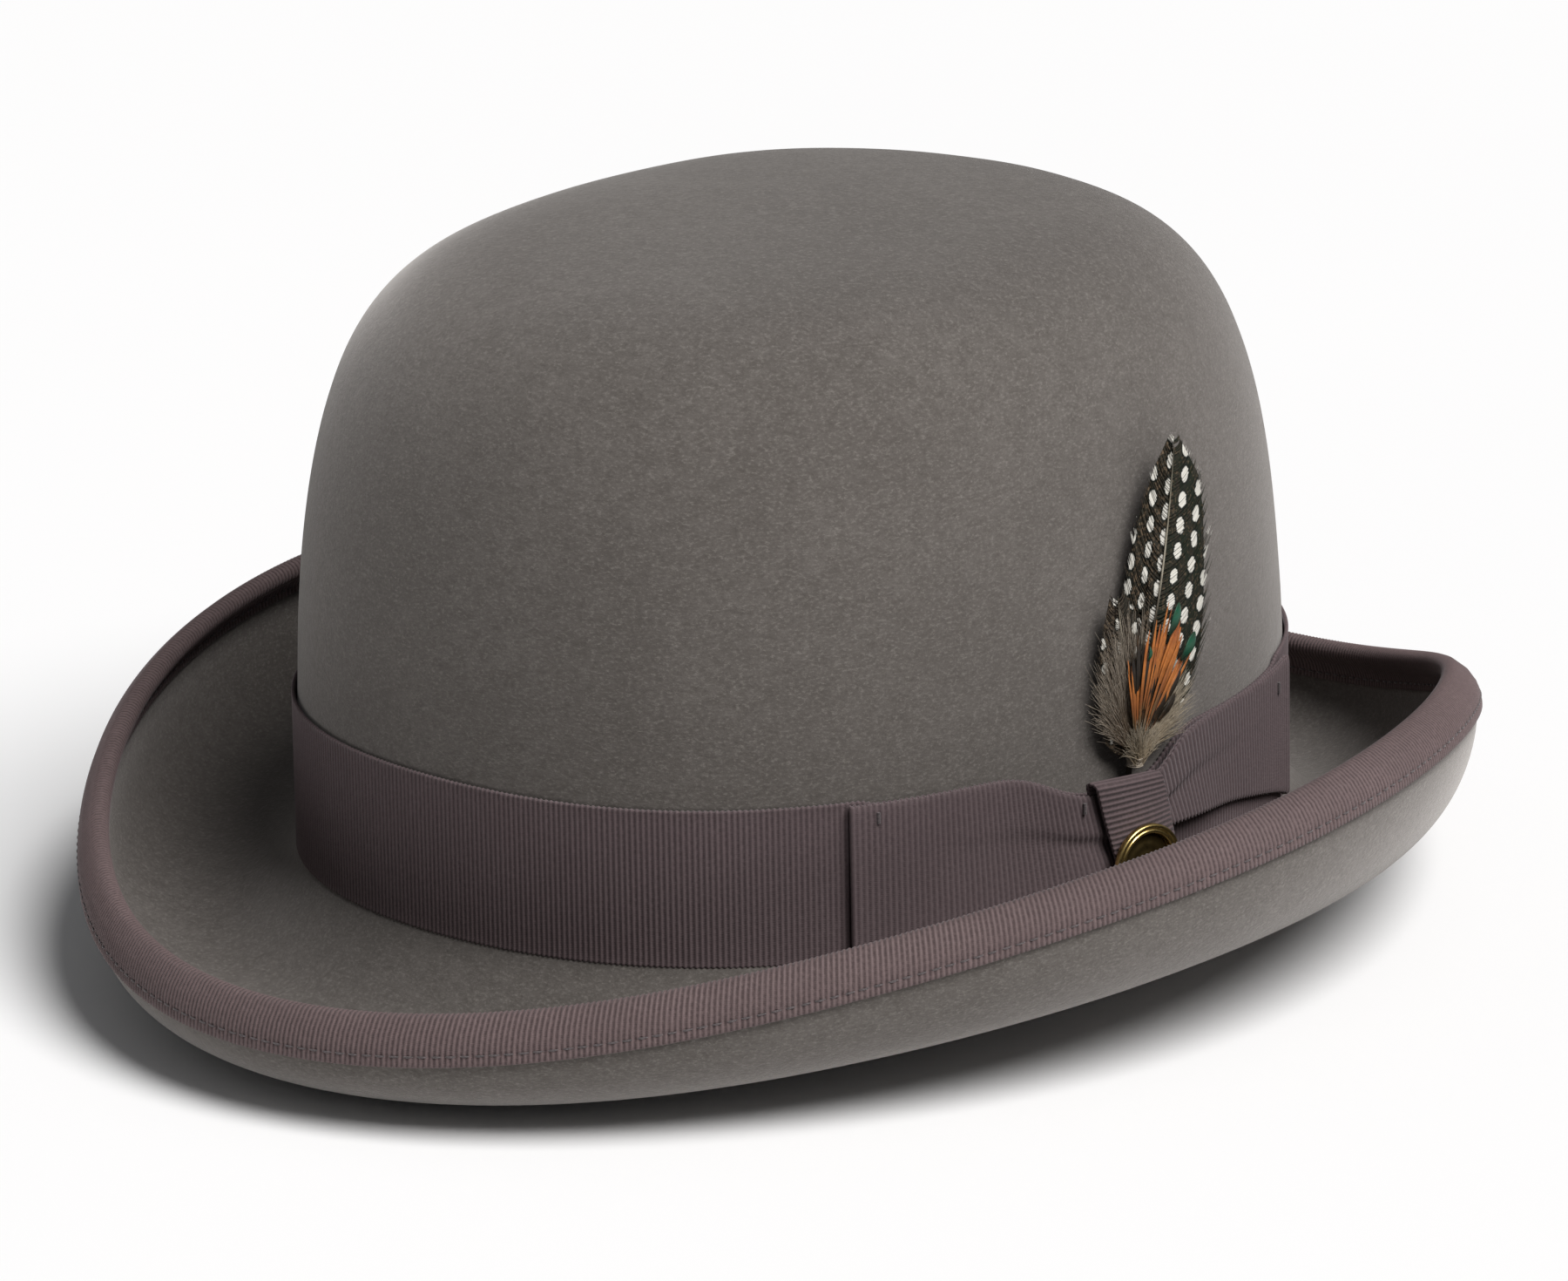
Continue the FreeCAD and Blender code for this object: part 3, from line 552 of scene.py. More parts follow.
def barb_look(name, stops, rough=0.5):
    """Colour along each barb from stops, shifted a little from barb to barb."""
    look = Look(name, Roughness=rough, Specular_IOR_Level=0.2)
    own, along = look.weave()
    shift = look.math("MULTIPLY_ADD", own, 0.3, -0.15)
    ramp = look.add("ValToRGB", {"Fac": look.math("ADD", along, shift)})
    ramp.color_ramp.interpolation = "EASE"
    while len(ramp.color_ramp.elements) < len(stops):
        ramp.color_ramp.elements.new(0.5)
    for element, (place_at, colour) in zip(ramp.color_ramp.elements, stops):
        element.position = place_at
        element.color = colour
    fleck = look.noise(900, 3, 0.6)
    look.colour(look.mix(look.span(fleck, 0.3, 0.7, 0.0, 0.3), ramp.outputs[0],
                         rgb(0.05, 0.03, 0.015)))
    return look.material


FELT_MATERIAL = felt_look()
BINDING_PITCH, BAND_PITCH, KNOT_PITCH = 1.05, 1.08, 1.15
# the first colour of each grosgrain is its rib valleys darkened by painted shade, the second its
# rib crowns
BINDING_MATERIAL = grosgrain_look("binding_grosgrain", rgb(0.074, 0.051, 0.051),
                                  rgb(0.135, 0.096, 0.095), BINDING_PITCH)
BAND_MATERIAL = grosgrain_look("band_grosgrain", rgb(0.078, 0.055, 0.058),
                               rgb(0.114, 0.084, 0.087), BAND_PITCH)
KNOT_MATERIAL = grosgrain_look("knot_grosgrain", rgb(0.064, 0.045, 0.046),
                               rgb(0.110, 0.079, 0.082), KNOT_PITCH)
THREAD_MATERIAL = thread_look()
LEATHER_MATERIAL = leather_look()
SATIN_MATERIAL = satin_look()
PAPER_MATERIAL = paper_look()
CORD_MATERIAL = cord_look("reed_cord", rgb(0.008, 0.008, 0.008), rgb(0.03, 0.028, 0.028))
TIE_MATERIAL = cord_look("tie_thread", rgb(0.20, 0.165, 0.125), rgb(0.40, 0.34, 0.27))
BRASS_MATERIAL = brass_look("polished_brass", rgb(0.30, 0.20, 0.06),
                            rgb(0.80, 0.60, 0.24), 0.18, 0.42)
GUINEA_MATERIAL = guinea_look("guinea_vane", rgb(0.026, 0.023, 0.016),
                              rgb(0.115, 0.082, 0.052), rgb(0.012, 0.017, 0.010), 1.0)
GUINEA_SIDE_MATERIAL = guinea_look("guinea_side_vane", rgb(0.040, 0.031, 0.023),
                                   rgb(0.12, 0.09, 0.06), rgb(0.024, 0.022, 0.016), 0.72)
PHEASANT_MATERIAL = barb_look("pheasant_orange", (
    (0.0, rgb(0.16, 0.10, 0.05)), (0.3, rgb(0.28, 0.095, 0.03)),
    (0.75, rgb(0.46, 0.155, 0.035)), (1.0, rgb(0.34, 0.10, 0.03))))
PHEASANT_DARK_MATERIAL = barb_look("pheasant_black", (
    (0.0, rgb(0.06, 0.036, 0.02)), (0.35, rgb(0.016, 0.013, 0.010)),
    (0.85, rgb(0.014, 0.012, 0.010)), (1.0, rgb(0.05, 0.03, 0.015))), 0.4)
EMERALD_MATERIAL = barb_look("pheasant_emerald", (
    (0.0, rgb(0.010, 0.035, 0.022)), (0.5, rgb(0.008, 0.085, 0.045)),
    (1.0, rgb(0.010, 0.050, 0.030))), 0.35)
DOWN_MATERIAL = barb_look("down_brown_grey", (
    (0.0, rgb(0.115, 0.082, 0.052)), (0.5, rgb(0.135, 0.100, 0.070)),
    (1.0, rgb(0.36, 0.31, 0.25))), 0.85)
PALE_DOWN_MATERIAL = barb_look("down_pale_beige", (
    (0.0, rgb(0.23, 0.180, 0.115)), (0.5, rgb(0.26, 0.21, 0.145)),
    (1.0, rgb(0.37, 0.32, 0.245))), 0.85)
QUILL_MATERIAL = barb_look("quill_horn", (
    (0.0, rgb(0.030, 0.026, 0.018)), (0.42, rgb(0.040, 0.035, 0.024)),
    (0.6, rgb(0.36, 0.33, 0.26)), (0.8, rgb(0.22, 0.20, 0.15)),
    (1.0, rgb(0.03, 0.028, 0.02))), 0.45)
DARK_BRASS_MATERIAL = brass_look("antiqued_brass", rgb(0.035, 0.026, 0.014),
                                 rgb(0.16, 0.115, 0.045), 0.35, 0.6)


# ------------------------------------------------------------------ felt and binding

def closed_ring(name, node, theta, insets, levels, material, slot_name, uv=None):
    """Ring from section points (inset from the oval, level), one row each."""
    points = np.stack([oval(theta, a, b) for a, b in zip(insets, levels)])
    points = np.concatenate([points, points[:1]])
    item = grid_object(name, points, material, uv=uv, wrap=True)
    finished(item, slot_name, node)
    return item

def pinch_poles(points):
    """Bring each section's two ends on the hat's axis to one point."""
    for pole in (0, -1):
        points[:, pole] = points[:, pole].mean(0)


def ramp_up(value, low, high):
    share = np.clip((value - low) / (high - low), 0, 1)
    return share * share * (3 - 2 * share)


def felt_hood():
    """Crown and brim: one blocked felt hood with slight unevenness."""
    theta = round_the_hat(288)
    middle = felt_middle(theta, 170)
    half = HALF_FELT
    across, up = path_normals(middle)
    across[:, 0], up[:, 0] = 0, 1
    upper = (middle[0] + across * half, middle[1] + up * half)
    lower = (middle[0] - across * half, middle[1] - up * half)
    turn = np.radians([36, 72, 108, 144])[None]
    side, rise = across[:, -1:], up[:, -1:]
    cap = (middle[0][:, -1:] + half * (side * np.cos(turn) + rise * np.sin(turn)),
           middle[1][:, -1:] + half * (rise * np.cos(turn) - side * np.sin(turn)))
    reach = np.concatenate([upper[0], cap[0], lower[0][:, ::-1]], 1)
    level = np.concatenate([upper[1], cap[1], lower[1][:, ::-1]], 1)
    points = in_space(theta, reach, level)
    # free of the ribbons, the felt waves a little
    share = np.linspace(0, 1, middle[0].shape[1])
    free = np.where(middle[0] < 0, ramp_up(middle[1], 34, 46),
                    ramp_up(middle[0], 5, 14) * (1 - ramp_up(share, 0.84, 0.9)))
    free = np.concatenate([free, np.zeros(cap[0].shape), free[:, ::-1]], 1)
    swell = (value_noise(points, 80, 3) * 0.2 + value_noise(points, 26, 8) * 0.05) * free
    outward = unit(points - np.array([0, SETBACK, BAND_LEVEL + 30]))
    points = points + outward * swell[..., None]
    pinch_poles(points)
    item = grid_object("felt_crown_and_brim", points.transpose(1, 0, 2), FELT_MATERIAL,
                       wrap=True)
    finished(item, "grey_felt", "felt_crown", "felt_brim")


BINDING_RIBS, STITCHES = 834, 316
LIP = HALF_FELT + RIBBON + FIT_GAP
BINDING_COVER = BINDING_HALF - (HALF_FELT + RIBBON) * CURL
STITCH_INSET = 2.0


def edge_wrap(theta, distances, offset, cap_steps):
    """Section over the brim's edge: up the outside, round the end, down the inside.

    Distances are measured back from the end, largest first; offset is a number or one
    for each section point."""
    path = felt_middle(theta, 420)
    length = path_length(path)[:, None]
    stations = 1 - distances[None] / length
    near = along(path, stations)
    ahead, behind = along(path, np.minimum(stations + 0.002, 1)), along(path, stations - 0.004)
    run, rise = ahead[0] - behind[0], ahead[1] - behind[1]
    size = np.hypot(run, rise)
    across, up = -rise / size, run / size
    turn = np.linspace(-math.pi / 2, math.pi / 2, cap_steps + 2)[None, 1:-1]
    end_across, end_up = across[:, -1:], up[:, -1:]
    way = (np.concatenate([-across, end_across * np.sin(turn) + end_up * np.cos(turn),
                           across[:, ::-1]], 1),
           np.concatenate([-up, end_up * np.sin(turn) - end_across * np.cos(turn),
                           up[:, ::-1]], 1))
    base = [np.concatenate([line, np.repeat(line[:, -1:], cap_steps, 1), line[:, ::-1]], 1)
            for line in near]
    return base[0] + way[0] * offset, base[1] + way[1] * offset


def binding_distances():
    fine = np.array([0, 0.3, 0.9, 1.5, 1.8, 2.0, 2.2, 2.6, 3.6, 5.4])
    return np.append(BINDING_COVER - fine, 0)


def brim_binding():
    """Grosgrain ribbon folded over the brim's edge, each rib modelled."""
    per_rib, cap_steps = 4, 5
    columns = BINDING_RIBS * per_rib
    theta, _ = even_angles(edge_curve, columns)
    distances = binding_distances()
    from_edge = BINDING_COVER - distances
    rib = 0.12 * np.cos(TURN * np.arange(columns) / per_rib)[:, None]
    stitch_phase = TURN * STITCHES * np.arange(columns)[:, None] / columns
    hollow = np.exp(-((from_edge - STITCH_INSET) / 0.38) ** 2)[None]
    dip = hollow * (0.10 + 0.16 * ramp_up(np.cos(stitch_phase), 0.55, 1))
    body_shape = np.where(from_edge < 0.2, 0.4, 1.0)[None]
    side = LIP + (rib - dip) * body_shape
    side[:, 0] = LIP - RIBBON
    cap = np.broadcast_to(LIP + rib, (columns, cap_steps))
    offset = np.concatenate([side, cap, side[:, ::-1]], 1)
    reach, level = edge_wrap(theta, distances, offset, cap_steps)
    points = in_space(theta, reach, level)
    walked = np.linspace(0, BINDING_RIBS * BINDING_PITCH, columns + 1)
    over = LIP * math.pi
    cross = np.concatenate([from_edge, BINDING_COVER + over * np.arange(1, cap_steps + 1)
                            / (cap_steps + 1), BINDING_COVER + over + distances[::-1]])
    item = grid_object("brim_binding_ribbon", points.transpose(1, 0, 2), BINDING_MATERIAL,
                       uv=weave_uv(walked[None], cross[:, None]), wrap=True)
    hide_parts("brim_binding")


def strands_object(name, centre, across, half_width, half_thick, material, body, uv=None,
                   sides=4):
    """Many slim closed strands: centre[strand, step], flattened across one direction."""
    count, steps = centre.shape[:2]
    ahead = np.gradient(centre, axis=1)
    ahead /= np.linalg.norm(ahead, axis=-1, keepdims=True) + 1e-12
    out = np.cross(ahead, across)
    out /= np.linalg.norm(out, axis=-1, keepdims=True) + 1e-12
    across = np.cross(out, ahead)
    turn = TURN * np.arange(sides) / sides
    points = (centre[:, :, None]
              + across[:, :, None] * (half_width[..., None] * np.cos(turn))[..., None]
              + out[:, :, None] * (half_thick[..., None] * np.sin(turn))[..., None])
    ring = np.arange(sides)
    base = (np.arange(count)[:, None, None] * steps
            + np.arange(steps - 1)[None, :, None]) * sides
    first, second = base + ring, base + (ring + 1) % sides
    corners = np.stack([first, second, second + sides, first + sides], -1).reshape(-1, 4)
    starts = (np.arange(count) * steps * sides)[:, None]
    caps = np.concatenate([starts + ring[::-1], starts + (steps - 1) * sides + ring])
    quads, ends = len(corners), len(caps)
    indices = np.concatenate([corners.reshape(-1), caps.reshape(-1)])
    starts = np.concatenate([np.arange(quads) * 4, quads * 4 + np.arange(ends) * sides])
    if uv is not None:
        uv = uv[indices // (sides * steps), indices // sides % steps]
    return place(name, smooth_mesh(name, points, indices, starts, uv), material, body)


def binding_stitches():
    """Lockstitches along both free edges of the binding."""
    steps = 7
    length = 0.70 / STITCHES
    turn = TURN * (BACK + (np.arange(STITCHES)[:, None] + 0.5
                           + STITCHES * length * np.linspace(-0.5, 0.5, steps)) / STITCHES)
    table, _ = even_angles(edge_curve, EDGE_STEPS)
    grown = np.append(table, table[0] + TURN)
    theta = np.interp((turn / TURN - BACK) * EDGE_STEPS, np.arange(EDGE_STEPS + 1),
                      grown).reshape(-1)
    arch = np.sin(np.linspace(0, math.pi, steps)) ** 0.5
    offset = np.tile(LIP - 0.16 + 0.26 * arch, STITCHES)[:, None]
    distance = np.array([BINDING_COVER - STITCH_INSET, 0.0])
    reach, level = edge_wrap(theta, distance, offset, 0)
    points = in_space(theta, reach, level)
    sides = [points[:, 0].reshape(STITCHES, steps, 3), points[:, -1].reshape(STITCHES, steps, 3)]
    centre = np.concatenate(sides)
    thin = np.broadcast_to(0.2 * np.maximum(arch, 0.45), centre.shape[:2])
    upward = np.broadcast_to(np.array([0.0, 0.1, 1.0]), centre.shape)
    item = strands_object("binding_lockstitches", centre, upward, thin, thin * 0.8,
                          THREAD_MATERIAL, "hat", sides=6)
    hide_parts("binding_thread")


# ------------------------------------------------------------------ band and bow

BAND_RIBS = 560
BAND_THICK = 0.7


def ribbon_edge(height):
    """Levels across a ribbon, crowded towards its two woven edges."""
    near = np.array([0, 0.22, 0.5, 0.95, 1.6])
    return np.concatenate([near, np.linspace(3, height - 3, 9), height - near[::-1]])


def hat_band():
    per_rib = 6
    columns = BAND_RIBS * per_rib
    theta, _ = even_angles(lambda angle: oval(angle, 0, 0), columns)
    height = BAND_TOP - BAND_LEVEL
    rib = np.cos(TURN * np.arange(columns) / per_rib)[None]
    rows = ribbon_edge(height)
    selvedge = np.exp(-(np.minimum(rows, height - rows) / 0.7) ** 2)[:, None]
    outer = 0.06 - rib * (0.085 - 0.03 * selvedge) - 0.07 * selvedge
    outer[[0, -1]] += 0.18
    picot = np.sign(rows - height / 2)[:, None] * selvedge * 0.13 * rib
    hang = 0.12 * np.sin(3 * theta + 1)[None] + 0.08 * np.sin(7 * theta)[None]
    angle = (np.degrees(theta) + 180) % 360 - 180
    behind_bow = ramp_up(angle, -36.5, -33) * (1 - ramp_up(angle, 31, 34))
    dip = 1.2 * behind_bow + np.where(
        angle < 0, 7.8 * np.exp(-(angle / 13.4) ** 4),
        7.0 * np.exp(-(np.abs(angle) / 6.9) ** 3) + 0.7 * np.exp(-(angle / 30) ** 8))
    levels = rows[:, None] + picot + (hang - dip) * (rows[:, None] / height)
    inset = np.concatenate([outer, np.full((2, columns), BAND_THICK - 0.06)])
    levels = np.concatenate([levels, levels[[-1, 0]]])
    walked = np.linspace(0, BAND_RIBS * BAND_PITCH, columns + 1)
    cross = np.concatenate([rows, [height + 1, height + 2, height + 3]])
    item = closed_ring("band_ribbon", "hat_band", theta, inset, levels, BAND_MATERIAL,
                       "taupe_grosgrain", weave_uv(walked[None], cross[:, None]))


WING_THICK, WING_STAND_OFF, WING_SEAT, WING_SETTLE = 1.1, 2.9, 0.45, 14.0
WING_BEND, KNOT_BEND = 94, 104   # radii that turn angles at the bow into lengths
KNOT_LEAN = math.tan(math.radians(17))
KNOT_LEVEL, KNOT_SIDE = 14.6, -3.3


def gather(spread, power):
    return np.cos(spread * math.pi / 2) ** power


def wing(name, node, last, foot, top, pleat):
    """Ribbon loop pressed flat: out along the face, round its fold and back behind."""
    length = abs(last) * math.radians(1) * WING_BEND
    ribs, per_rib, fold_steps = round(length / BAND_PITCH), 6, 8
    columns = ribs * per_rib + 1
    angle = np.linspace(0.15 * math.copysign(1, last), last, columns)
    share = np.concatenate([np.linspace(0, 0.05, 5), np.linspace(0.1, 0.9, 25),
                            np.linspace(0.95, 1, 5)])

    def surface(share, angle, depth, ribbed):
        """Depth is 0 on the back layer and 1 on the face."""
        share = share[:, None]
        spread = np.abs(angle / last)
        level = foot(np.minimum(spread, 1)) + share * (
            top(np.minimum(spread, 1)) - foot(np.minimum(spread, 1)))
        near = np.exp(-(spread / 0.42) ** 2)
        crease = 0.46 + 0.25 * spread
        below = np.clip(share / crease, 0, 1) ** 1.5
        over = 1 / (1 + np.exp(-(share - crease) / 0.022))
        fold = pleat * near * ((0.25 - 0.45 * share) * over - below * (1 - over))
        fold = fold + 0.12 * np.sin(TURN * (spread * 1.7 + share * 0.6)) * (1 - near) * \
            np.sin(math.pi * np.minimum(spread, 1))
        stand = WING_SEAT + (WING_STAND_OFF - WING_SEAT) * np.exp(
            -(angle / WING_SETTLE) ** 4)
        fold_swell = 0.35 * np.exp(-((1 - np.minimum(spread, 1)) / 0.025) ** 2)
        selvedge = np.exp(-(np.minimum(share, 1 - share) / 0.02) ** 2)
        stand = stand + depth * (WING_THICK + fold_swell + fold - 0.2 * selvedge) + ribbed
        level = level + 0.16 * np.sign(share - 0.5) * selvedge * np.sign(ribbed + 1e-9)
        tilt = -(level - KNOT_LEVEL) * KNOT_LEAN * np.exp(-(spread / 0.45) ** 2)
        theta = np.radians(angle) + tilt / KNOT_BEND
        return oval(theta, -stand, level)

    turn = np.linspace(0, math.pi, fold_steps + 2)[1:-1]
    wave = 0.085 * np.cos(TURN * np.arange(columns) / per_rib)

    def skin(share, thin):
        """One side of the ribbon all along the loop; thin is its depth inside it."""
        reach = np.degrees(WING_THICK * (0.5 - thin) * np.sin(turn) / WING_BEND)
        run = np.concatenate([angle, last + reach * math.copysign(1, last), angle[::-1]])
        depth = np.concatenate([np.full(columns, 1 - thin), 0.5 + (0.5 - thin) * np.cos(turn),
                                np.full(columns, thin)])
        ribbed = np.concatenate([wave, np.zeros(fold_steps), -wave[::-1]]) * (thin == 0)
        return surface(share, run[None], depth[None], ribbed[None])

    inside = np.linspace(0.988, 0.012, 12)
    points = np.concatenate([skin(share, 0), skin(inside, 0.4)])
    points = np.concatenate([points, points[:1]])
    u = np.concatenate([np.arange(columns) / per_rib * BAND_PITCH,
                        np.full(fold_steps, ribs * BAND_PITCH),
                        np.arange(columns)[::-1] / per_rib * BAND_PITCH, [0.0]])
    v = np.concatenate([share, inside, [0]]) * 28
    item = grid_object(name, points, BAND_MATERIAL, uv=weave_uv(u[None], v[:, None]),
                       wrap=True)
    finished(item, "taupe_grosgrain", node)


def wings():
    wing("bow_front_loop", "bow_front_wing", -37.1,
         lambda spread: 0.9 + 4.6 * gather(spread, 1.7),
         lambda spread: 31.2 - 7.8 * np.exp(-(spread / 0.36) ** 4), 1.5)
    wing("bow_rear_loop", "bow_rear_wing", 34.6,
         lambda spread: 1.6 + 11.0 * gather(spread, 0.8),
         lambda spread: 30.5 - 7.0 * np.exp(-(spread / 0.2) ** 3), 0.9)


def rounded_box(half_x, half_y, radius, count):
    """Evenly spaced points around a rounded rectangle, from its bottom right, upward."""
    corners = []
    for x, y, start in ((1, -1, -90), (1, 1, 0), (-1, 1, 90), (-1, -1, 180)):
        turn = np.radians(start + np.linspace(0, 90, 9))
        corners.append(np.stack([x * (half_x - radius) + radius * np.cos(turn),
                                 y * (half_y - radius) + radius * np.sin(turn)], -1))
    line = np.concatenate(corners + [corners[0][:1]])
    walked = walked_along(line)
    wanted = np.linspace(0, walked[-1], count + 1)
    return np.stack([np.interp(wanted, walked, line[:, 0]),
                     np.interp(wanted, walked, line[:, 1])], -1), walked[-1]


def bow_knot():
    """Ribbon wrapped around the bow's middle; its ribs run across."""
    ribs, per_rib = 44, 8
    rows = ribs * per_rib
    near, far, half_height, half_width = 89.85, 93.0, 11.2, 9.15
    centre, depth = (near + far) / 2, (far - near) / 2
    outer, length = rounded_box(depth, half_height, 1.3, rows)
    inner, _ = rounded_box(depth - 0.6, half_height - 0.6, 0.7, rows)
    wave = 0.10 * np.cos(TURN * np.arange(rows + 1) / per_rib)
    away = unit(np.gradient(outer, axis=0)[:, ::-1] * np.array([1, -1]))
    across = np.sin(np.linspace(-math.pi / 2, math.pi / 2, 15))

    def skin(line, side, bulge):
        rise = line[:, 1] * (1 - side * 1.1 / half_height * (line[:, 1] > 0))
        crown = bulge * (1 - side ** 2) * np.clip(line[:, 0], 0, None) / depth
        sag = 0.25 * np.sin(TURN * (line[:, 1] / 22 + 0.2)) * (1 - side ** 2)
        along_band = side * half_width - rise * KNOT_LEAN + 0.35 * np.sin(line[:, 1] / 5) * side
        return np.stack([centre + line[:, 0] + crown + sag * (line[:, 0] > 0.5 * depth),
                         SETBACK + KNOT_SIDE + along_band,
                         BAND_LEVEL + KNOT_LEVEL + rise], -1)

    columns = [skin(outer + away * (wave * (0.35 if abs(side) > 0.98 else 1))[:, None],
                    side, 0.45) for side in across]
    columns += [skin(inner, side, 0.3) for side in (0.995, 0.5, -0.5, -0.995)]
    points = np.stack(columns, 1)
    points[-1] = points[0]
    u = np.linspace(0, ribs * KNOT_PITCH, rows + 1)
    v = np.concatenate([across * half_width, [9, 5, -5, -9, -9.15]])
    item = grid_object("bow_knot_ribbon", points, KNOT_MATERIAL,
                       uv=weave_uv(u[:, None], v[None]), wrap=True)
    finished(item, "taupe_grosgrain", "bow_knot")


# ------------------------------------------------------------------ inside the crown

BAND_INSET, LEATHER_HEIGHT, LEATHER_DROP = 6.6, 50, 1.6   # the sweatband's own
PRESSED_LINES = (3.8, 46.2)


def sweatband():
    """Leather strip with two pressed lines and a slightly waved upper edge."""
    theta = round_the_hat(480)
    rows = np.concatenate([[0, 0.3, 0.8, 2, 3.4, 3.8, 4.2], np.linspace(7, 43, 13),
                           [45.4, 45.9, 46.2, 46.5, 47, 48.8, 49.7, 50]])
    wave = (0.32 * np.sin(5 * theta + 0.6) + 0.2 * np.sin(9 * theta)
            + 0.12 * np.sin(17 * theta + 2))[None]
    lean = wave * ramp_up(rows, 15, LEATHER_HEIGHT)[:, None]
    thick = np.where((rows < 0.1) | (rows > 49.9), 0.3, np.where(
        (rows < 0.5) | (rows > 49.5), 0.42, 0.5))
    foot_line, top_line = PRESSED_LINES
    groove = 0.16 * (np.exp(-((rows - top_line) / 0.35) ** 2)
                     + np.exp(-((rows - foot_line) / 0.4) ** 2))
    inner = BAND_INSET + thick[:, None] - groove[:, None] + lean
    outer = BAND_INSET - thick[:, None] + lean
    insets = np.concatenate([inner, outer[::-1]])
    levels = np.concatenate([rows, rows[::-1]]) - LEATHER_DROP
    item = closed_ring("sweatband_leather", "sweatband", theta, insets, levels,
                       LEATHER_MATERIAL, "tan_leather")


def round_cord(name, node, centre_of, radius, count, sides, twist, material, slot_name):
    """Closed cord with a twisted surface; centre_of(theta) gives its line."""
    theta = round_the_hat(count)
    centre = centre_of(theta)
    ahead = unit(np.roll(centre, -1, 0) - np.roll(centre, 1, 0))
    out = unit(np.cross(ahead, np.array([0, 0, 1.0])))
    up = np.cross(out, ahead)
    rows = []
    for step in range(sides):
        turn = TURN * step / sides
        strand = radius * (1 + 0.09 * np.cos(2 * turn + TURN * twist * np.arange(count) / count))
        rows.append(centre + (out * math.cos(turn) + up * math.sin(turn)) * strand[:, None])
    points = np.stack(rows + rows[:1])
    item = grid_object(name, points, material, wrap=True)
    finished(item, slot_name, node)


LINING_SEAM, LINING_FOOT = 0.7725, 13.8   # share of the crown's radius; level


def cap_step(share):
    """Place in the crown's path of a share of its radius."""
    return round((CAP_STEPS - 1) * math.asin(share) / math.asin(CAP_SHARE))


def crown_section(theta, first, last, count):
    """Middle of the crown's felt between two stations of its own path."""
    path = middle_path(theta)
    part = (path[0][:, first:last], path[1][:, first:last])
    return along(part, np.linspace(0, 1, count)[None])


def satin_piece(name, node, theta, middle, near, far, capped):
    """Satin between two depths under the felt's middle; capped when it closes at the top."""
    across, up = path_normals(middle)
    if capped:
        across[:, 0], up[:, 0] = 0, 1
    closing = 0 if capped else 1
    reach, level = (np.concatenate([line - way * near, (line - way * far)[:, ::-1],
                                    (line - way * near)[:, :closing]], 1)
                    for line, way in zip(middle, (across, up)))
    points = in_space(theta, reach, level)
    if capped:
        pinch_poles(points)
    item = grid_object(name, points.transpose(1, 0, 2), SATIN_MATERIAL, wrap=True)
    finished(item, "satin_lining", node)
    return item


def lining():
    """Satin side strip with soft upright folds, and the oval tip."""
    theta = round_the_hat(420)
    gap, cloth = HALF_FELT + 0.45, 0.3
    middle = crown_section(theta, cap_step(LINING_SEAM + 0.0125), 2 * CAP_STEPS, 44)
    keep = middle[1][0] > LINING_FOOT
    middle = (middle[0][:, keep], middle[1][:, keep])
    rows = middle[0].shape[1]
    share = np.linspace(0, 1, rows)[None]
    fold = (0.5 + 0.5 * np.sin(23 * theta + 2 * np.sin(3 * theta)))[:, None] ** 2 * 0.75
    fold = fold + (0.5 + 0.5 * np.sin(61 * theta + 1.5 * np.sin(5 * theta)))[:, None] * 0.22
    fold = fold * np.sin(math.pi * np.clip(share * 0.9 + 0.06, 0, 1)) ** 0.6
    side = satin_piece("lining_side_satin", "lining_side", theta, middle, gap + cloth + fold,
                       gap + fold * 0.9, capped=False)

    middle = crown_section(theta, 0, cap_step(LINING_SEAM - 0.0175) + 1, 40)
    share = np.linspace(0, 1, 40)[None]
    sag = 0.9 * (1 - share ** 2) + 0.3 * np.sin(4 * theta)[:, None] * share ** 2 * (1 - share) * 4
    pull = 0.22 * (0.5 + 0.5 * np.sin(48 * theta))[:, None] * ramp_up(share, 0.7, 1)
    tip = satin_piece("lining_tip_satin", "lining_tip", theta, middle,
                      gap + cloth + sag + pull, gap + sag, capped=True)


def piping_line(theta):
    middle = crown_section(theta, 0, CAP_STEPS, 400)
    across, up = path_normals(middle)
    at = int(np.argmin(np.abs(middle[0][0] / middle[0][0, 0] - (1 - LINING_SEAM))))
    depth = HALF_FELT + 1.05
    reach, level = middle[0] - across * depth, middle[1] - up * depth
    return in_space(theta, reach[:, at:at + 1], level[:, at:at + 1])[:, 0]


def inside_trim():
    round_cord("lining_piping_cord", "lining_piping", piping_line, 0.6, 1400, 8, 420,
               BAND_MATERIAL, "taupe_grosgrain")
    round_cord("sweatband_reed_cord", "sweatband_reed",
               lambda theta: oval(theta, BAND_INSET, -2.72), 1.0, 1600, 8, 380,
               CORD_MATERIAL, "black_cord")
    small_bow()
    size_tab()


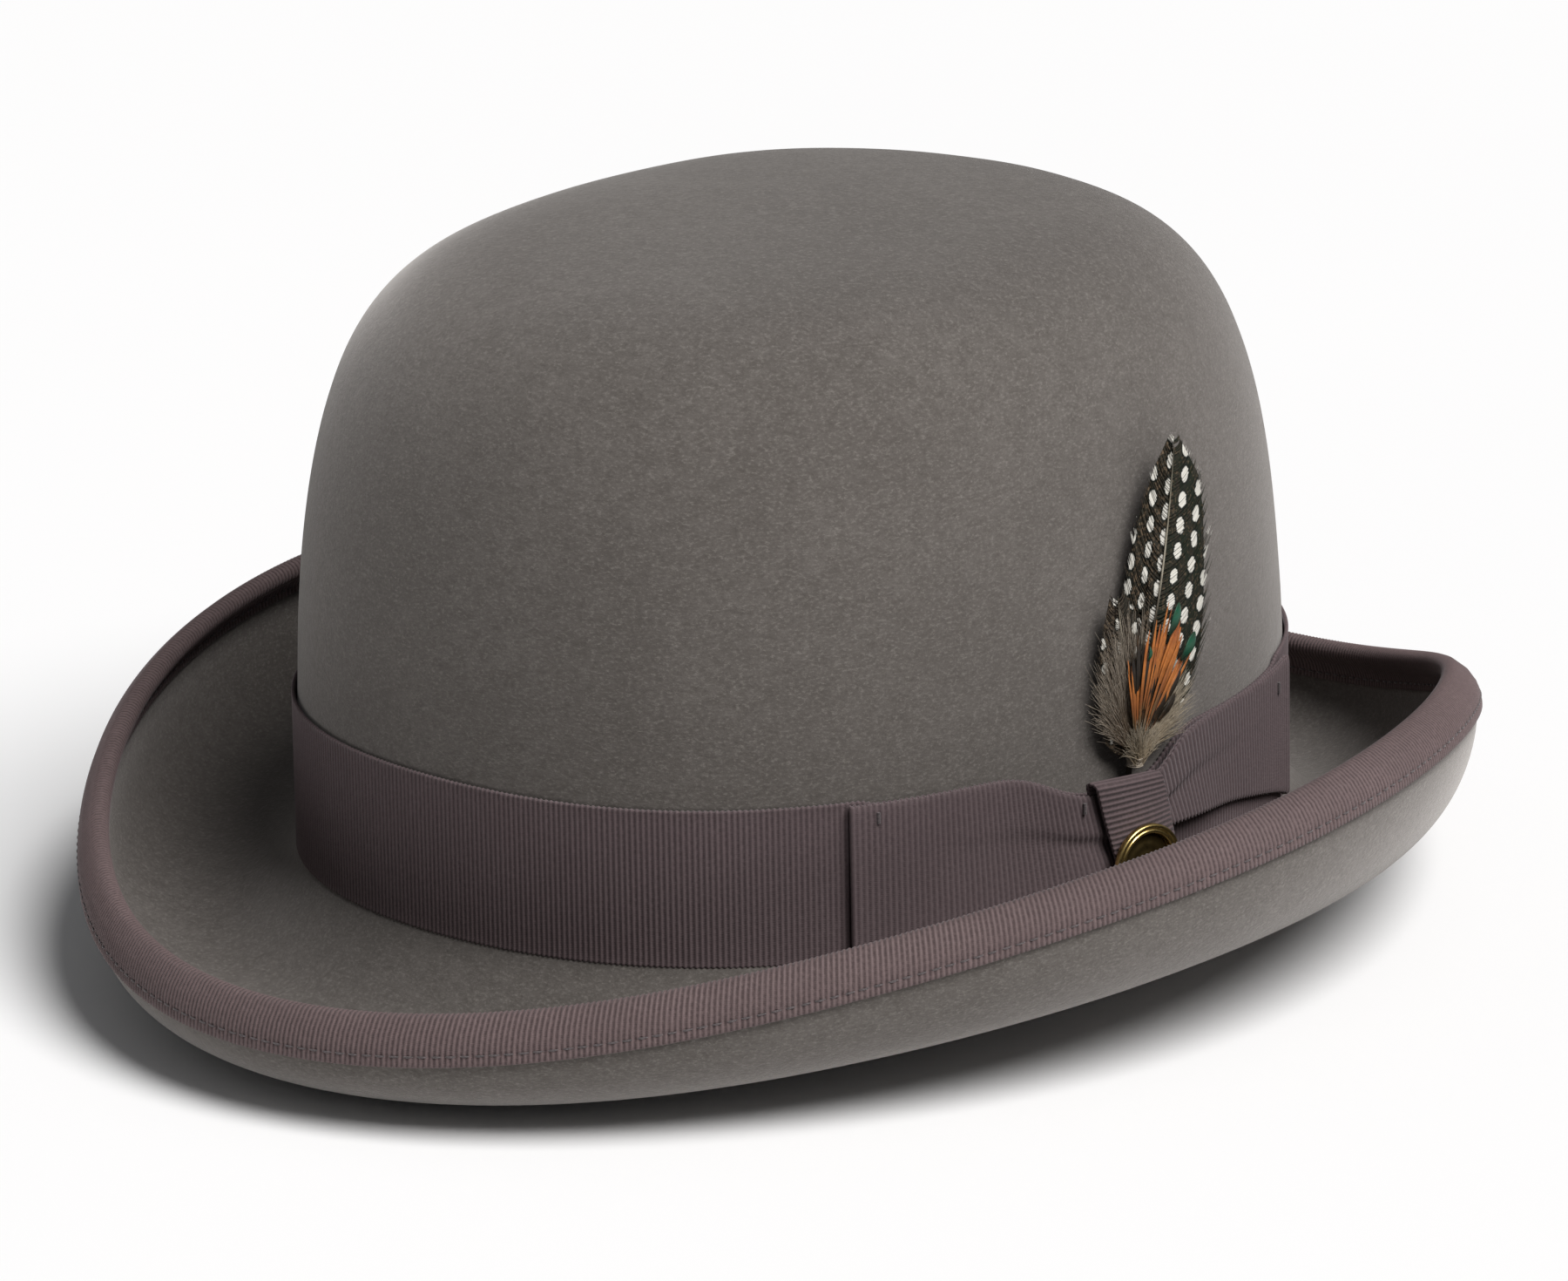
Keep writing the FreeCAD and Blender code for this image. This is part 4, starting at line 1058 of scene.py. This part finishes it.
def small_bow():
    """Flat bow of narrow ribbon at the back of the sweatband: two loops and a keeper."""
    back = oval(np.array([math.pi / 2]), BAND_INSET + 0.5, 3)[0]
    plane = back[1] - 3.0
    columns, width = 240, 4.5
    turn = TURN * np.arange(columns) / columns
    x, depth = 13 * np.sin(turn), 1.75 * np.sin(2 * turn)
    way = unit(np.stack([np.gradient(x), np.gradient(depth)], -1))
    normal = np.stack([-way[:, 1], way[:, 0]], -1)
    rib = 0.03 * np.cos(turn * 60)
    pinch = np.exp(-(x / 3.2) ** 2)
    rows = []
    for offset, share in ((0.2, 0.0), (0.25, 0.06), (0.25, 0.5), (0.25, 0.94), (0.2, 1.0),
                          (-0.2, 1.0), (-0.25, 0.5), (-0.2, 0.0)):
        flat = x + normal[:, 0] * (offset + rib * np.sign(offset))
        deep = depth + normal[:, 1] * (offset + rib * np.sign(offset))
        height = (share - 0.5) * width * (1 - 0.3 * pinch) - 0.02 * x ** 2 * 0.4
        rows.append(np.stack([flat, plane + deep, back[2] + width / 2 + height], -1))
    points = np.stack(rows + rows[:1])
    u = np.linspace(0, 60 * 0.9, columns + 1)
    v = np.array([0, 0.3, 2.2, 4.2, 4.5, 5, 7, 9, 9.5])
    bow = grid_object("sweatband_bow_loops", points, KNOT_MATERIAL,
                      uv=weave_uv(u[None], v[:, None]), wrap=True)
    finished(bow, "taupe_grosgrain", "sweatband_bow")
    outer, length = rounded_box(0.95, 2.1, 0.7, 96)
    inner, _ = rounded_box(0.6, 1.75, 0.4, 96)
    columns = []
    for line, side in ((outer, -1), (outer, -0.9), (outer, 0), (outer, 0.9), (outer, 1),
                       (inner, 1), (inner, 0), (inner, -1)):
        puff = 1 + 0.1 * (1 - side ** 2)
        columns.append(np.stack([np.full(97, side * 2.25), plane + line[:, 0] * puff,
                                 back[2] + width / 2 + line[:, 1] * puff], -1))
    points = np.stack(columns, 1)
    v = np.array([0, 0.2, 2.2, 4.3, 4.5, 5, 7, 9, 9.2])
    keeper = grid_object("sweatband_bow_keeper", points, KNOT_MATERIAL,
                         uv=weave_uv(np.linspace(0, length, 97)[:, None], v[None]), wrap=True)
    finished(keeper, "taupe_grosgrain", "sweatband_bow_knot")


def size_tab():
    """Blank paper tab behind the sweatband, slightly bowed."""
    low, high = node_box("size_label")
    outline, _ = rounded_box((high[0] - low[0]) / 2, (high[2] - low[2]) / 2, 1.5, 60)
    centre = (low + high) / 2
    rings = []
    for scale, side in ((0, 1), (0.6, 1), (0.97, 1), (1, 0.6), (1, -0.6), (0.97, -1), (0.6, -1),
                        (0, -1)):
        flat = outline * scale
        bow = 0.35 * (flat[:, 0] / 8) ** 2
        rings.append(np.stack([centre[0] + flat[:, 0], centre[1] + bow + side * 0.11,
                               centre[2] + flat[:, 1]], -1))
    item = grid_object("size_tab_paper", np.stack(rings), PAPER_MATERIAL)
    finished(item, "paper_tab", "size_label")


# ------------------------------------------------------------------ feather

FEATHER_ROOT = np.array([OVAL_WIDE, SETBACK + QUILL_SIDE, BAND_LEVEL + QUILL_TOP])
PLUME_RISE = 2.2
BARB_HALF_WIDTH, BARB_HALF_THICK = 0.27, 0.07
FAN_MIDDLE = 40                  # where a vane's pattern has its shaft, in its UV


def vane_frame(lean, lift):
    """Foot and directions of a feather: out, across, up its shaft."""
    angle = math.radians(lean)
    foot = FEATHER_ROOT + np.array([lift, 0, PLUME_RISE])
    return (foot, np.array([1.0, 0, 0]), np.array([0, math.cos(angle), -math.sin(angle)]),
            np.array([0, math.sin(angle), math.cos(angle)]))


def barb_line(end, width, length, q):
    """Way forward and sideways of barbs that leave the shaft and end at shares of it."""
    start = np.clip(end * length - 1.05 * width, 0.4, length * 0.985)
    return start + (end * length - start) * q ** 1.35, width * (q + 0.12 * np.sin(math.pi * q))


def web(name, material, axes, length, widths, droop, bend):
    """Closed thin leaf under the barbs, so that no light shows between them."""
    foot, across, up, out = axes
    end = np.linspace(0.10, 0.985, 70)[:, None]
    q = np.linspace(0, 0.9, 9)[None]
    halves, uvs = [], []
    for side, width in zip((-1, 1), widths):
        width = np.interp(end, np.linspace(0, 1, len(width)), width)
        forward, side_way = barb_line(end, width, length, q)
        side_at = side * side_way
        rise = 0.35 * np.sin(math.pi * q) - droop * (forward / length) ** 2 - 0.1
        halves.append((side_at + bend * np.sin(math.pi * forward / length), forward, rise))
        uvs.append(np.stack([side_at + FAN_MIDDLE, forward], -1))
    top = [np.concatenate([left[:, ::-1], right], 1) for left, right in zip(*halves)]
    points = (foot + across * top[0][..., None] + up * top[1][..., None]
              + out * top[2][..., None])
    uv = np.concatenate([uvs[0][:, ::-1], uvs[1]], 1)
    points = np.concatenate([points, points[:, ::-1] - out * 0.12], 1)
    uv = np.concatenate([uv, uv[:, ::-1], uv[:, :1]], 1)
    item = grid_object(name, points, material, body="feather", uv=uv, wrap=True)
    tidy_mesh(item.data)


def vane(name, node, material, lean, lift, length, left, right, pitch, droop,
         seed, bend=0.0):
    """Feather of separate barbs that leave the shaft and curve towards the tip.

    Left and right are half widths at even shares of the length."""
    draw = np.random.default_rng(seed)
    foot, out, across, up = vane_frame(lean, lift)
    count, steps = int(length * 1.12 / pitch), 12
    q = np.linspace(0, 1, steps)[None]
    strands, uvs = [], []
    for side, widths in ((-1, left), (1, right)):
        end = np.linspace(0.10, 1.0, count)[:, None] + draw.normal(0, 0.25 / length, (count, 1))
        width = np.interp(end, np.linspace(0, 1, len(widths)), widths)
        width = width * (1 + draw.normal(0, 0.05, (count, 1)))
        forward, side_way = barb_line(end, width, length, q)
        wave = draw.normal(0, 0.12, (count, 1)) * q ** 2
        raise_by = 0.35 * np.sin(math.pi * q) + draw.normal(0, 0.07, (count, 1)) * q
        raise_by = raise_by - droop * (forward / length) ** 2
        side_at = side * (side_way + wave) + bend * np.sin(math.pi * forward / length)
        centre = (foot + across * side_at[..., None] + up * forward[..., None]
                  + out * raise_by[..., None])
        strands.append(centre)
        uvs.append(np.stack([side * side_way + FAN_MIDDLE, forward], -1))
    centre, uv = np.concatenate(strands), np.concatenate(uvs)
    taper = (1 - q ** 3) * 0.92 + 0.08
    half_width = np.broadcast_to(BARB_HALF_WIDTH * taper, centre.shape[:2])
    half_thick = np.broadcast_to(BARB_HALF_THICK * taper, centre.shape[:2])
    flat = np.broadcast_to(across * 0.75 - up * 0.65, centre.shape)
    item = strands_object(name, centre, flat, half_width, half_thick, material, "feather", uv)
    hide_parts(node)
    web(name + "_web", material, (foot, across, up, out), length, (left, right),
        droop, bend)
    at = np.linspace(0, 0.97, 24)[None]
    shaft = (foot + up * (at * length)[..., None] + across * (
        bend * np.sin(math.pi * at))[..., None] + out * (0.22 - droop * at ** 2)[..., None])
    size = 0.30 * (1 - at) ** 0.6 + 0.05
    item = strands_object(name + "_shaft", shaft, np.broadcast_to(across, shaft.shape), size,
                          size * 0.8, QUILL_MATERIAL, "feather",
                          np.stack([np.full(at.shape, 0.5), at], -1), 6)


def fanned(centre_side, centre_up, rise, lift):
    """Points on the feather's plane from distances sideways, upward and outward."""
    foot, out, across, up = vane_frame(0, lift)
    return (foot + across * centre_side[..., None] + up * centre_up[..., None]
            + out * rise[..., None])


def tuft(name, node, material, lift, angles, reaches, count, seed, curl=2.0, root=1.0,
         drop=0.0):
    """Loose barbs that fan from the tie; each leaves a bent hair line of its own.

    Angles are the fan's two limits, in degrees from upright; reaches are lengths across it."""
    draw = np.random.default_rng(seed)
    steps = 12
    q = np.linspace(0, 1, steps)[None]
    share = draw.uniform(0, 1, (count, 1))
    way = np.radians(np.interp(share, [0, 1], angles))
    reach = np.interp(share, np.linspace(0, 1, len(reaches)), reaches)
    reach = reach * draw.uniform(0.45, 1.03, (count, 1)) ** 0.8
    begin = draw.uniform(0, 0.5, (count, 1)) * reach
    own_way = way + draw.normal(0, 0.15, (count, 1))
    bow = draw.normal(0, curl, (count, 1)) * q ** 2
    wave = 0.22 * np.sin(TURN * (1.2 * q + draw.uniform(0, 1, (count, 1)))) * q
    run = (reach - begin) * q
    sideways = (root * draw.uniform(-1, 1, (count, 1)) + np.sin(way) * begin
                + np.sin(own_way) * run + np.cos(own_way) * (bow + wave))
    forward = (np.cos(way) * begin + np.cos(own_way) * run - np.sin(own_way) * (bow + wave)
               - drop * draw.uniform(0, 1, (count, 1)))
    rise = draw.uniform(-0.2, 0.5, (count, 1)) + draw.normal(0, 0.45, (count, 1)) * q ** 2
    centre = fanned(sideways, forward, rise, lift)
    own = np.broadcast_to(draw.uniform(0, 1, (count, 1)), (count, steps))
    uv = np.stack([own, (begin + run) / reach], -1)
    half = 0.085 * (1 - 0.75 * q ** 1.5) * draw.uniform(0.6, 1.3, (count, 1))
    item = strands_object(name, centre, np.broadcast_to([0.0, 1.0, 0.0], centre.shape), half,
                          half * 0.6, material, "feather", uv)
    if node:
        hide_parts(node)


def blades(name, node, material, lift, blade_list, bow=0.9):
    """Pointed pheasant barbs laid over each other like shingles.

    Each is (degrees from upright, start, end, half width), measured from the tie."""
    steps = 16
    q = np.linspace(0, 1, steps)[None]
    way, start, end, wide = np.array(blade_list).T[..., None]
    way = np.radians(way)
    far = start + (end - start) * q
    sideways = np.sin(way) * far - bow * np.cos(way) * np.sin(math.pi * far / 32)
    forward = np.cos(way) * far + bow * np.sin(way) * np.sin(math.pi * far / 32)
    order = (np.arange(len(way))[:, None] % 3) * 0.14
    centre = fanned(sideways, forward, order + 0.5 * np.sin(math.pi * q), lift)
    own = np.broadcast_to((np.arange(len(way))[:, None] * 0.381966) % 1, far.shape)
    half = wide * np.sin(math.pi * (0.07 + 0.91 * q)) ** 0.75
    item = strands_object(name, centre, np.broadcast_to([0.0, 1.0, 0.0], centre.shape), half,
                          np.minimum(half * 0.35, 0.12), material, "feather",
                          np.stack([own, np.broadcast_to(q, far.shape)], -1), 8)
    if node:
        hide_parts(node)


def spread_blades(count, angles, reaches, start, width, seed):
    """Blades at even angles, with their lengths across the fan and some scatter."""
    draw = np.random.default_rng(seed)
    share = (np.arange(count) + 0.5) / count
    end = np.interp(share, np.linspace(0, 1, len(reaches)), reaches)
    end = end * draw.uniform(0.72, 1.02, count)
    return np.stack([np.interp(share, [0, 1], angles) + draw.normal(0, 1.4, count),
                     draw.uniform(*start, count), end, width * draw.uniform(0.7, 1.25, count)],
                    -1)


def feather_tie():
    """Thread wound round the quills, with its turns showing."""
    low, high = node_box("feather_tie")
    centre, radius = (low + high) / 2, (high[0] - low[0]) / 2
    height = high[2] - low[2]
    rows, columns, turns = 60, 40, 7
    around = TURN * np.arange(columns) / columns
    share = np.linspace(0, 1, rows)[:, None]
    wrap = np.abs(np.sin(math.pi * (turns * share + around[None] / TURN))) ** 0.6
    size = (radius - 0.35 + 0.3 * wrap) * np.minimum(1, 6 * np.minimum(share, 1 - share) + 0.55)
    size = size * (1 - 0.18 * np.sin(math.pi * share))
    points = np.stack([centre[0] + size * np.cos(around), centre[1] + size * np.sin(around),
                       np.broadcast_to(low[2] + height * share, size.shape)], -1)
    middle = np.broadcast_to(centre, (1, columns, 3)).copy()
    foot, head = middle.copy(), middle.copy()
    foot[..., 2], head[..., 2] = low[2], high[2]
    item = grid_object("feather_tie_thread", np.concatenate([foot, points, head]),
                       TIE_MATERIAL, body="feather", wrap=True)
    finished(item, "taupe_thread", "feather_tie")


def feather():
    feather_tie()
    vane("guinea_feather_tall", "guinea_feather_main", GUINEA_MATERIAL, 15.2,
         0.4, 63.0, (5, 8, 9.5, 10.5, 11, 11, 10.8, 10.2, 8.2, 5.6, 1.0),
         (4, 9, 13, 16, 16.5, 15.5, 14.2, 12.8, 11.4, 8.8, 1.0), 0.5, 1.5, 11, bend=2.0)
    vane("guinea_feather_short", "guinea_feather_side", GUINEA_SIDE_MATERIAL,
         -6.0, 1.3, 34.0, (4, 7, 8.0, 8, 7.5, 6.5, 4.5, 2), (4, 6, 7.5, 8, 7.5, 6.5, 4.5, 2),
         0.5, 0.3, 12)
    tuft("down_brown_tuft", "down_plume_front", DOWN_MATERIAL, 2.0, (-44, 4),
         (14, 19, 24, 28, 31), 900, 21, curl=1.3)
    tuft("down_pale_tuft", "down_plume_rear", PALE_DOWN_MATERIAL, 2.6, (34, 74),
         (20, 21, 20, 16), 460, 22, curl=1.2)
    tuft("down_root_tuft", None, PALE_DOWN_MATERIAL, 3.3, (-45, 60), (6.5, 8.5, 9.5, 9, 8),
         340, 23, curl=0.9, root=0.8, drop=2.4)
    orange = np.concatenate([
        spread_blades(26, (-4, 46), (20, 24, 32, 26, 23), (3.0, 9.0), 0.6, 31),
        [(28.0, 10.0, 28.0, 1.5), (31.5, 9.0, 26.5, 1.3)]])
    blades("pheasant_orange_blades", "pheasant_feather_front", PHEASANT_MATERIAL, 2.9, orange)
    blades("pheasant_black_blades", "pheasant_feather_rear", PHEASANT_DARK_MATERIAL, 3.1,
           spread_blades(18, (-6, 50), (23, 26, 22, 20, 21), (4.0, 13.0), 0.85, 33))
    blades("pheasant_orange_streaks", None, PHEASANT_MATERIAL, 3.4,
           spread_blades(11, (-4, 44), (21, 23, 30, 25, 21), (3.0, 9.0), 0.42, 35), bow=2.2)
    blades("pheasant_emerald_tips", None, EMERALD_MATERIAL, 3.8,
           [(23.0, 24.0, 30.8, 1.25), (38.5, 20.5, 27.0, 1.3), (9.0, 19.0, 22.0, 0.5)])


# ------------------------------------------------------------------ pin

PIN_SEGMENTS, BEAD_STEPS = 120, 9

def turned(name, node, profile, material, slot_name):
    """Turned piece on the pin's axis from (radius, height) points, outer face last."""
    seat = np.array([OVAL_WIDE + PIN_SEAT[0], SETBACK + PIN_SEAT[1], BAND_LEVEL + PIN_SEAT[2]])
    out = np.array([math.cos(PIN_YAW), -math.sin(PIN_YAW), 0])
    across, up = np.array([math.sin(PIN_YAW), math.cos(PIN_YAW), 0]), np.array([0, 0, 1.0])
    around = (TURN * np.arange(PIN_SEGMENTS) / PIN_SEGMENTS)[None, :, None]
    radius, height = np.array(profile).T[..., None, None]
    points = seat + out * height + (across * np.cos(around) + up * np.sin(around)) * radius
    item = grid_object(name, points, material, body="pin", wrap=True)
    finished(item, slot_name, node)


def bead(radius, height, size, start, stop):
    """Arc of a bead's section, in degrees."""
    return [(radius + size * math.cos(a), height + size * math.sin(a))
            for a in np.radians(np.linspace(start, stop, BEAD_STEPS))]


def pin():
    rim = ([(0, 0), (PIN_RADIUS - 1.2, 0), (PIN_RADIUS - 0.5, 0.3), (PIN_RADIUS - 0.1, 0.9)]
           + bead(PIN_RADIUS - 0.55, 1.55, 0.5, -20, 150)
           + bead(PIN_RADIUS - 1.5, 1.62, 0.42, 20, 190)
           + [(PIN_RADIUS - 2.02, 1.1), (PIN_RADIUS - 2.1, 0.62), (0, 0.62)])
    turned("pin_rim_brass", "pin_bezel", rim, BRASS_MATERIAL, "polished_brass")
    radius = PIN_RADIUS - 2.16
    share = np.linspace(1, 0, 16)
    face = [(0, 0.64), (radius, 0.64)] + [
        (radius * s, 0.78 + 0.5 * (1 - s * s) + 0.05 * math.cos(20 * s)) for s in share]
    turned("pin_centre_antiqued", "pin_face", face, DARK_BRASS_MATERIAL, "dark_brass")


# ------------------------------------------------------------------ studio

FLOOR_REACH = 6.0
SUN_STRENGTH, SUN_SPREAD, SUN_COLOUR = 3.65, math.radians(36), (1.0, 0.99, 0.985)
SUN_FROM = Vector((0.60, 0.0, 0.80))
SKY_STRENGTH, SKY_COLOUR = 0.14, (0.95, 0.97, 1, 1)


def studio():
    """Pale floor, a faint even sky and one wide soft light from the bow side."""
    mesh = bpy.data.meshes.new("studio_floor")
    mesh.from_pydata([(x * FLOOR_REACH, y * FLOOR_REACH, 0)
                      for x, y in ((-1, -1), (1, -1), (1, 1), (-1, 1))], [], [(0, 1, 2, 3)])
    floor = bpy.data.objects.new("studio_floor", mesh)
    bpy.context.scene.collection.objects.link(floor)
    look = Look("studio_white", Roughness=0.9)
    grain = look.noise(3, 2, 0.5)
    look.colour(look.mix(grain, rgb(0.94, 0.94, 0.94), rgb(0.96, 0.96, 0.96)))
    mesh.materials.append(look.material)
    world = bpy.data.worlds.new("studio_sky")
    world.use_nodes = True
    background = world.node_tree.nodes["Background"].inputs
    background["Color"].default_value = SKY_COLOUR
    background["Strength"].default_value = SKY_STRENGTH
    bpy.context.scene.world = world
    sky = bpy.data.lights.new("overhead_softbox", "SUN")
    sky.energy, sky.angle, sky.color = SUN_STRENGTH, SUN_SPREAD, SUN_COLOUR
    lamp = bpy.data.objects.new("overhead_softbox", sky)
    bpy.context.scene.collection.objects.link(lamp)
    lamp.rotation_euler = SUN_FROM.to_track_quat("Z", "Y").to_euler()


SENSOR, FRAME_WIDE = 36, 1800    # millimetres; width of the frame in its own pixels


def camera():
    """Long lens from the front left of the wearer, a little above the brim."""
    azimuth, elevation, roll = (math.radians(v) for v in (41.98, 16.66, -0.978))
    distance, per_mm = 2145.0, 5.79
    back = np.array([math.sin(azimuth) * math.cos(elevation),
                     -math.cos(azimuth) * math.cos(elevation), math.sin(elevation)])
    right = np.array([math.cos(azimuth), math.sin(azimuth), 0])
    up = np.cross(back, right)
    right, up = (right * math.cos(roll) + up * math.sin(roll),
                 up * math.cos(roll) - right * math.sin(roll))
    mark = np.array([0, SETBACK, BAND_LEVEL + 60])
    aim = mark - right * 1.35 - up * 24.87
    place_at = mark + back * distance
    look_back = unit(place_at - aim)
    side = unit(np.cross(up, look_back))
    above = np.cross(look_back, side)
    data = bpy.data.cameras.new("studio_camera")
    data.sensor_width = SENSOR
    data.lens = SENSOR * per_mm * distance / FRAME_WIDE
    data.clip_start, data.clip_end = 0.05, 50
    rig = bpy.data.objects.new("studio_camera", data)
    bpy.context.scene.collection.objects.link(rig)
    facing = Matrix([side, above, look_back]).transposed().to_4x4()
    rig.matrix_world = Matrix.Translation(Vector(place_at) * MM) @ facing
    bpy.context.scene.camera = rig
    bpy.context.scene.view_settings.view_transform = "Standard"


def finish_cad_nodes():
    """Procedural materials for the CAD nodes that stay."""
    for node, material in (("bow_tack_stitches", THREAD_MATERIAL),
                           ("sweatband_stitches", THREAD_MATERIAL),
                           ("feather_quills", QUILL_MATERIAL), ("pin_post", BRASS_MATERIAL),
                           ("pin_clutch", BRASS_MATERIAL)):
        item = next(o for o in bpy.data.objects if o.get("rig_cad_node") == node)
        item.data.materials.clear()
        item.data.materials.append(material)


felt_hood()
brim_binding()
binding_stitches()
hat_band()
wings()
bow_knot()
sweatband()
lining()
inside_trim()
feather()
pin()
finish_cad_nodes()
studio()
camera()
